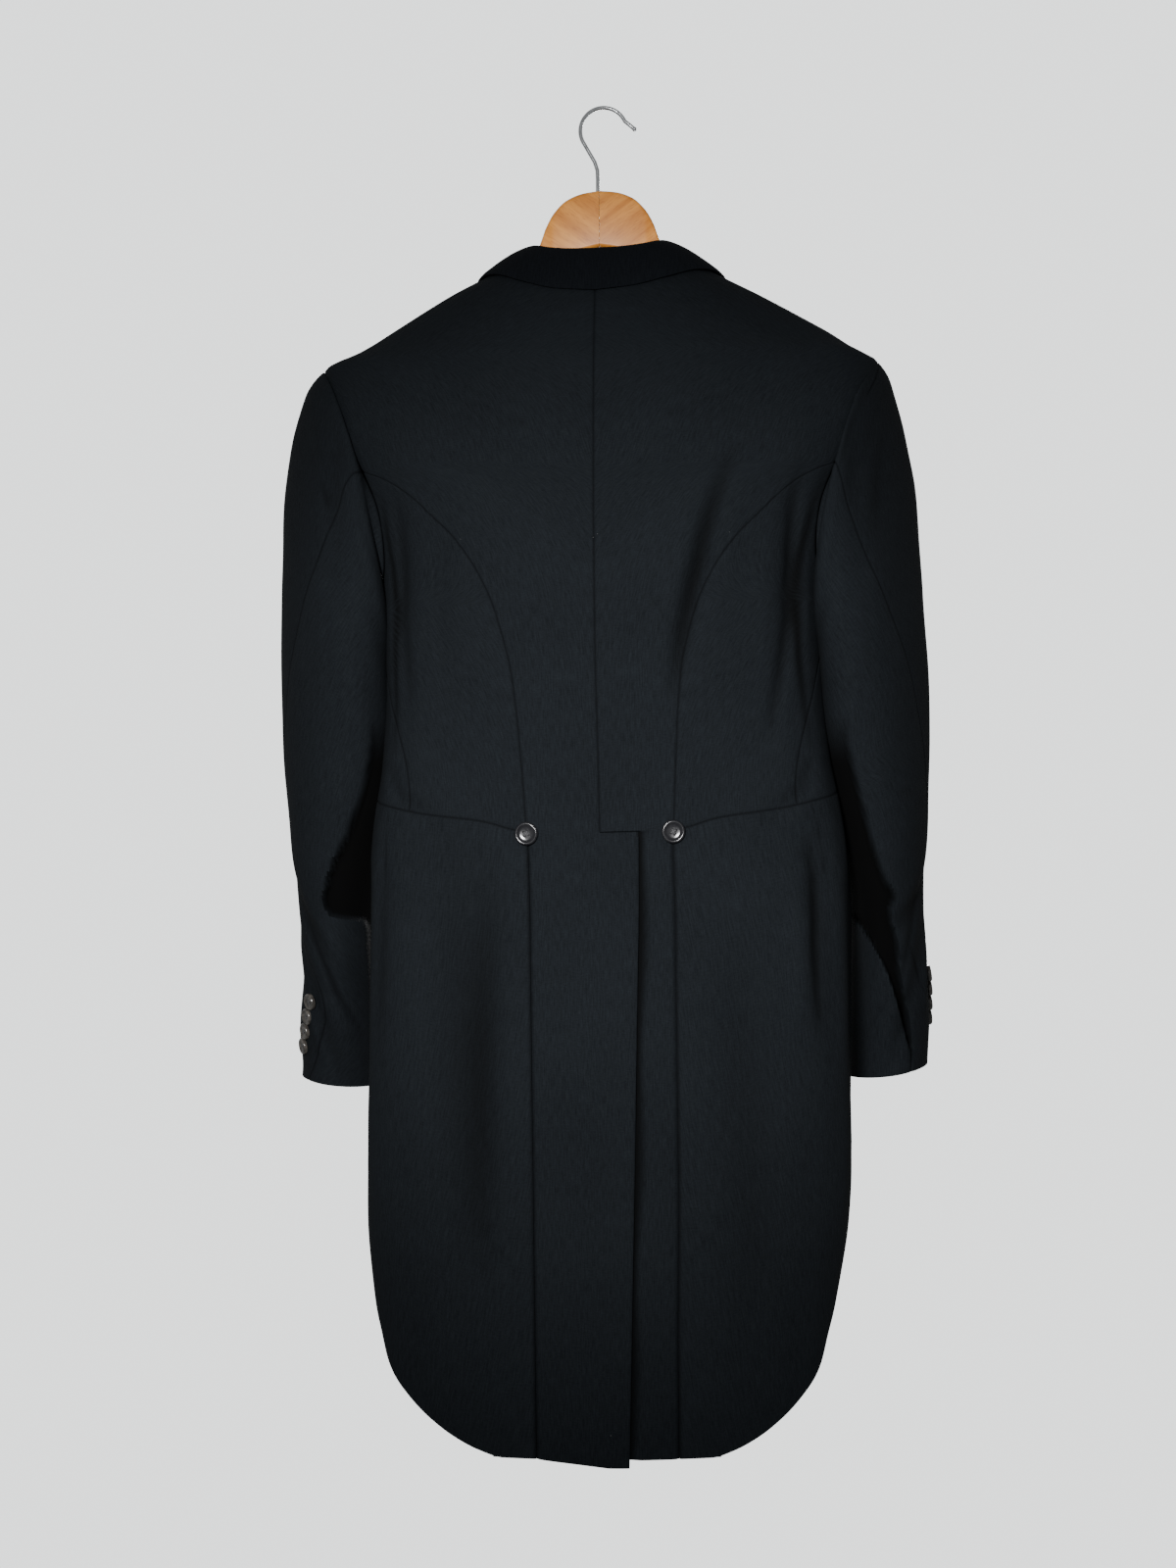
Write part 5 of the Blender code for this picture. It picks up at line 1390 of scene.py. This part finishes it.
def node_seat(node, outward):
    """The middle of a button's solid and the way it faces."""
    thing = bpy.data.objects[node]
    places = np.array([thing.matrix_world @ v.co for v in thing.data.vertices])
    middle = (places.min(axis=0) + places.max(axis=0)) / 2
    spread = places - places.mean(axis=0)
    _, _, axes = np.linalg.svd(spread, full_matrices=False)
    normal = axes[2] * np.sign(np.dot(axes[2], outward))
    reach = spread @ normal
    low = normal @ places.mean(axis=0) + reach.min()
    base = middle - normal * (normal @ middle - low)
    return Vector(base), Vector(normal)


def place_button(model, cross, node, outward, slot, spin):
    base, normal = node_seat(node, outward)
    turn = Vector((0, 0, 1)).rotation_difference(normal).to_matrix().to_4x4()
    put = Matrix.Translation(base) @ turn @ Matrix.Rotation(spin, 4, "Z")
    for source, label in ((model, "coat_" + node), (cross, "coat_thread_" + node[7:])):
        mesh = source.data.copy()
        mesh.transform(put)
        thing = bpy.data.objects.new(label, mesh)
        bpy.context.scene.collection.objects.link(thing)
        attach(thing, "root")
        if source is model:
            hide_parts(node)


def make_buttons():
    """Turns one button of each size, and sews copies of it on where the solids lie."""
    pairs = []
    for where, (radius, height, hole), material in (("back", BACK_BUTTON, HORN_BLACK),
                                                    ("cuff", CUFF_BUTTON, HORN_GREY)):
        pairs.append((turned_button("blank_" + where, radius, height, hole, material),
                      thread_cross("cross_" + where, radius, height)))
    back, cuff = pairs
    place_button(*back, "button_back_left", (0, 1, 0), "horn_black", 0.15)
    place_button(*back, "button_back_right", (0, 1, 0), "horn_black", -0.30)
    place_button(*back, "button_front", (0, -1, 0), "horn_black", 0.1)
    for side, outward in (("left", (1, 1, 0)), ("right", (-1, 0.2, 0))):
        for k in range(4):
            place_button(*cuff, "button_cuff_%s_%d" % (side, k + 1), outward, "horn_grey",
                         0.4 + 0.5 * k)
    for thing in back + cuff:
        bpy.data.objects.remove(thing, do_unlink=True)


# Hanger

WOOD = Table(
    ("x", "top_z", "height", "half_thick", "forward"),
    (
        (0.0000, -0.0705, 0.0480, 0.0062, 0.000),
        (0.0140, -0.0722, 0.0490, 0.0062, 0.000),
        (0.0280, -0.0775, 0.0500, 0.0064, 0.000),
        (0.0390, -0.0880, 0.0480, 0.0068, 0.000),
        (0.0460, -0.1000, 0.0430, 0.0072, 0.001),
        (0.0510, -0.1140, 0.0370, 0.0076, 0.001),
        (0.0580, -0.1300, 0.0320, 0.0084, 0.002),
        (0.0720, -0.1395, 0.0340, 0.0096, 0.003),
        (0.1000, -0.1508, 0.0330, 0.0120, 0.003),
        (0.1360, -0.1700, 0.0300, 0.0150, 0.003),
        (0.1780, -0.1940, 0.0260, 0.0175, 0.002),
        (0.2050, -0.2100, 0.0210, 0.0170, 0.002),
        (0.2180, -0.2200, 0.0130, 0.0130, 0.002),
    ),
)
HALF_GAP = 0.15 * MM
WOOD_STEPS = 56
WOOD_ROUND = 3.2 * MM
GRAIN_LEAN = 0.62


def make_hanger(side, material):
    """Half of the wooden hanger: a board's end drawn out along the curve, its long edges
    rounded, and its face at the middle joint left flat."""
    xs = np.concatenate([np.linspace(HALF_GAP, 0.070, WOOD_STEPS // 2),
                         np.linspace(0.074, 0.218, WOOD_STEPS // 2)])
    thick = 2 * WOOD.at("half_thick", xs)
    high = WOOD.at("height", xs)
    middle = np.stack([xs, -WOOD.at("forward", xs), WOOD.at("top_z", xs) - high / 2], axis=-1)
    bpy.ops.object.select_all(action="DESELECT")
    bpy.ops.mesh.primitive_plane_add(size=1.0, location=middle[0], rotation=(0.0, math.pi / 2, 0.0))
    half = bpy.context.active_object
    half.name = "hanger_wood_" + side
    bpy.ops.object.transform_apply(location=False, rotation=True, scale=True)
    bpy.ops.object.mode_set(mode="EDIT")
    bpy.ops.mesh.select_all(action="SELECT")
    bpy.ops.transform.resize(value=(1.0, thick[0], high[0]), center_override=middle[0])
    for k in range(1, len(xs)):
        step = middle[k] - middle[k - 1]
        bpy.ops.mesh.extrude_region_move(TRANSFORM_OT_translate={"value": step})
        bpy.ops.transform.resize(value=(1.0, thick[k] / thick[k - 1], high[k] / high[k - 1]),
                                 center_override=middle[k])
    bpy.ops.mesh.select_all(action="SELECT")
    bpy.ops.mesh.normals_make_consistent(inside=False)
    bpy.ops.mesh.select_all(action="DESELECT")
    shape = bmesh.from_edit_mesh(half.data)
    for edge in shape.edges:
        edge.select_set(abs(edge.verts[0].co.x - edge.verts[1].co.x) > MM)
    bmesh.update_edit_mesh(half.data)
    bpy.ops.mesh.bevel(offset=WOOD_ROUND, segments=5, affect="EDGES", clamp_overlap=True)
    bpy.ops.object.mode_set(mode="OBJECT")
    bpy.ops.object.transform_apply(location=True, rotation=True, scale=True)
    mesh = half.data
    places = np.array([vertex.co for vertex in mesh.vertices])
    mesh.vertices.foreach_set("co", hang(places, side).astype(np.float32).ravel())
    face_outwards(half)
    mesh.shade_smooth()
    mesh.set_sharp_from_angle(angle=math.radians(40))
    mesh.materials.clear()
    mesh.materials.append(material)
    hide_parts("hanger_" + side)
    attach(half, "root")


HOOK_WIRE = 3.3 * MM
HOOK_RADIUS = 0.020
SHANK_X = 0.005


def make_hook():
    """The bent wire, with its small round tip."""
    top = HOOK_WIRE / 2
    path = [(SHANK_X, -0.0702), (SHANK_X, -0.0600), (SHANK_X + 0.0004, -0.0520),
            (SHANK_X + 0.0026, -0.0450), (SHANK_X + 0.0064, -0.0385)]
    for k in range(41):
        angle = math.radians(-35 + 190 * k / 40)
        path.append((math.cos(angle) * HOOK_RADIUS,
                     top - HOOK_RADIUS + math.sin(angle) * HOOK_RADIUS))
    path += [(-0.0215, -0.0125), (-0.0262, -0.0165)]
    curve = bpy.data.curves.new("hook_wire", "CURVE")
    curve.dimensions = "3D"
    curve.bevel_depth = HOOK_WIRE / 2
    curve.bevel_resolution = 6
    curve.use_fill_caps = True
    line = curve.splines.new("POLY")
    line.points.add(len(path) - 1)
    for point, (x, z) in zip(line.points, path):
        point.co = (x, 0.0, z, 1.0)
    wire = bpy.data.objects.new("hook_wire", curve)
    bpy.context.scene.collection.objects.link(wire)
    select_only(wire)
    bpy.ops.object.convert(target="MESH")
    wire = bpy.context.active_object
    bpy.ops.object.select_all(action="DESELECT")
    bpy.ops.mesh.primitive_uv_sphere_add(segments=28, ring_count=16, radius=HOOK_WIRE * 0.60,
                                         location=(-0.0264, 0.0, -0.0167))
    bpy.ops.object.transform_apply(location=True, rotation=True, scale=True)
    wire.select_set(True)
    bpy.context.view_layer.objects.active = wire
    bpy.ops.object.join()
    wire.data.materials.clear()
    wire.data.materials.append(chrome())
    wire.data.shade_smooth()
    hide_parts("hook")
    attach(wire, "root")


# Camera, floor and light

CAMERA_PLACE = (0.0134, 1.9, -0.578)
# The camera's opening from top to bottom, in degrees, and its sensor's height in millimetres
CAMERA_OPENING = 38.96
SENSOR_HEIGHT = 24.0
PALE = (0.79, 0.81, 0.81, 1.0)


def make_camera():
    data = bpy.data.cameras.new("camera")
    data.sensor_fit = "VERTICAL"
    data.sensor_height = SENSOR_HEIGHT
    data.lens = SENSOR_HEIGHT / 2 / math.tan(math.radians(CAMERA_OPENING / 2))
    camera = bpy.data.objects.new("camera", data)
    camera.location = CAMERA_PLACE
    camera.rotation_euler = (math.radians(90), 0.0, math.radians(180))
    bpy.context.scene.collection.objects.link(camera)
    bpy.context.scene.camera = camera


def make_stage():
    bpy.ops.object.select_all(action="DESELECT")
    bpy.ops.mesh.primitive_circle_add(vertices=96, radius=1.5, fill_type="NGON",
                                      location=(0, 0, -1.85))
    floor = bpy.context.active_object
    floor.name = "floor"
    material, w, shader = start_material("pale_floor")
    mottle = w.noise(w.place(), 3.0)
    w.fill(shader, {"Base Color": w.ramp(mottle, (0.76, 0.77, 0.77), (0.80, 0.81, 0.81)),
                    "Roughness": 0.9})
    floor.data.materials.append(material)
    # The backdrop is bright to the camera, and casts a softer light on the coat
    world = bpy.data.worlds.new("studio")
    bpy.context.scene.world = world
    world.use_nodes = True
    w = Wiring(world.node_tree)
    seen = world.node_tree.nodes["Background"]
    w.fill(seen, {"Color": PALE, "Strength": 2.3})
    cast = w.add("ShaderNodeBackground", {"Color": PALE, "Strength": 0.55})
    ray = w.add("ShaderNodeLightPath")
    pick = w.add("ShaderNodeMixShader", {0: (ray, "Is Camera Ray"), 1: (cast, 0), 2: (seen, 0)})
    w.fill(world.node_tree.nodes["World Output"], {"Surface": (pick, "Shader")})


def add_light(name, place, aim, size, power, cone):
    data = bpy.data.lights.new(name, "SPOT")
    data.shadow_soft_size = size
    data.energy = power
    data.spot_size = math.radians(cone)
    data.spot_blend = 1.0
    light = bpy.data.objects.new(name, data)
    light.location = place
    light.rotation_euler = (Vector(aim) - Vector(place)).to_track_quat("-Z", "Y").to_euler()
    bpy.context.scene.collection.objects.link(light)


make_camera()
make_stage()
add_light("key", (0.30, 1.88, -0.25), (-0.02, 0.0, -0.62), 0.20, 505.0, 37.0)
add_light("front_fill", (-0.45, -2.3, 0.1), (0.0, 0.0, -0.55), 0.50, 360.0, 40.0)

for coat_side in ("left", "right"):
    make_back(coat_side)
    make_sidebody(coat_side)
    make_front(coat_side)
    make_skirt(coat_side)
    make_lapel(coat_side)
    make_sleeve(coat_side)
make_collar()
make_buttons()
make_hanger("left", beech("beech_left", GRAIN_LEAN))
make_hanger("right", beech("beech_right", -GRAIN_LEAN))
make_hook()
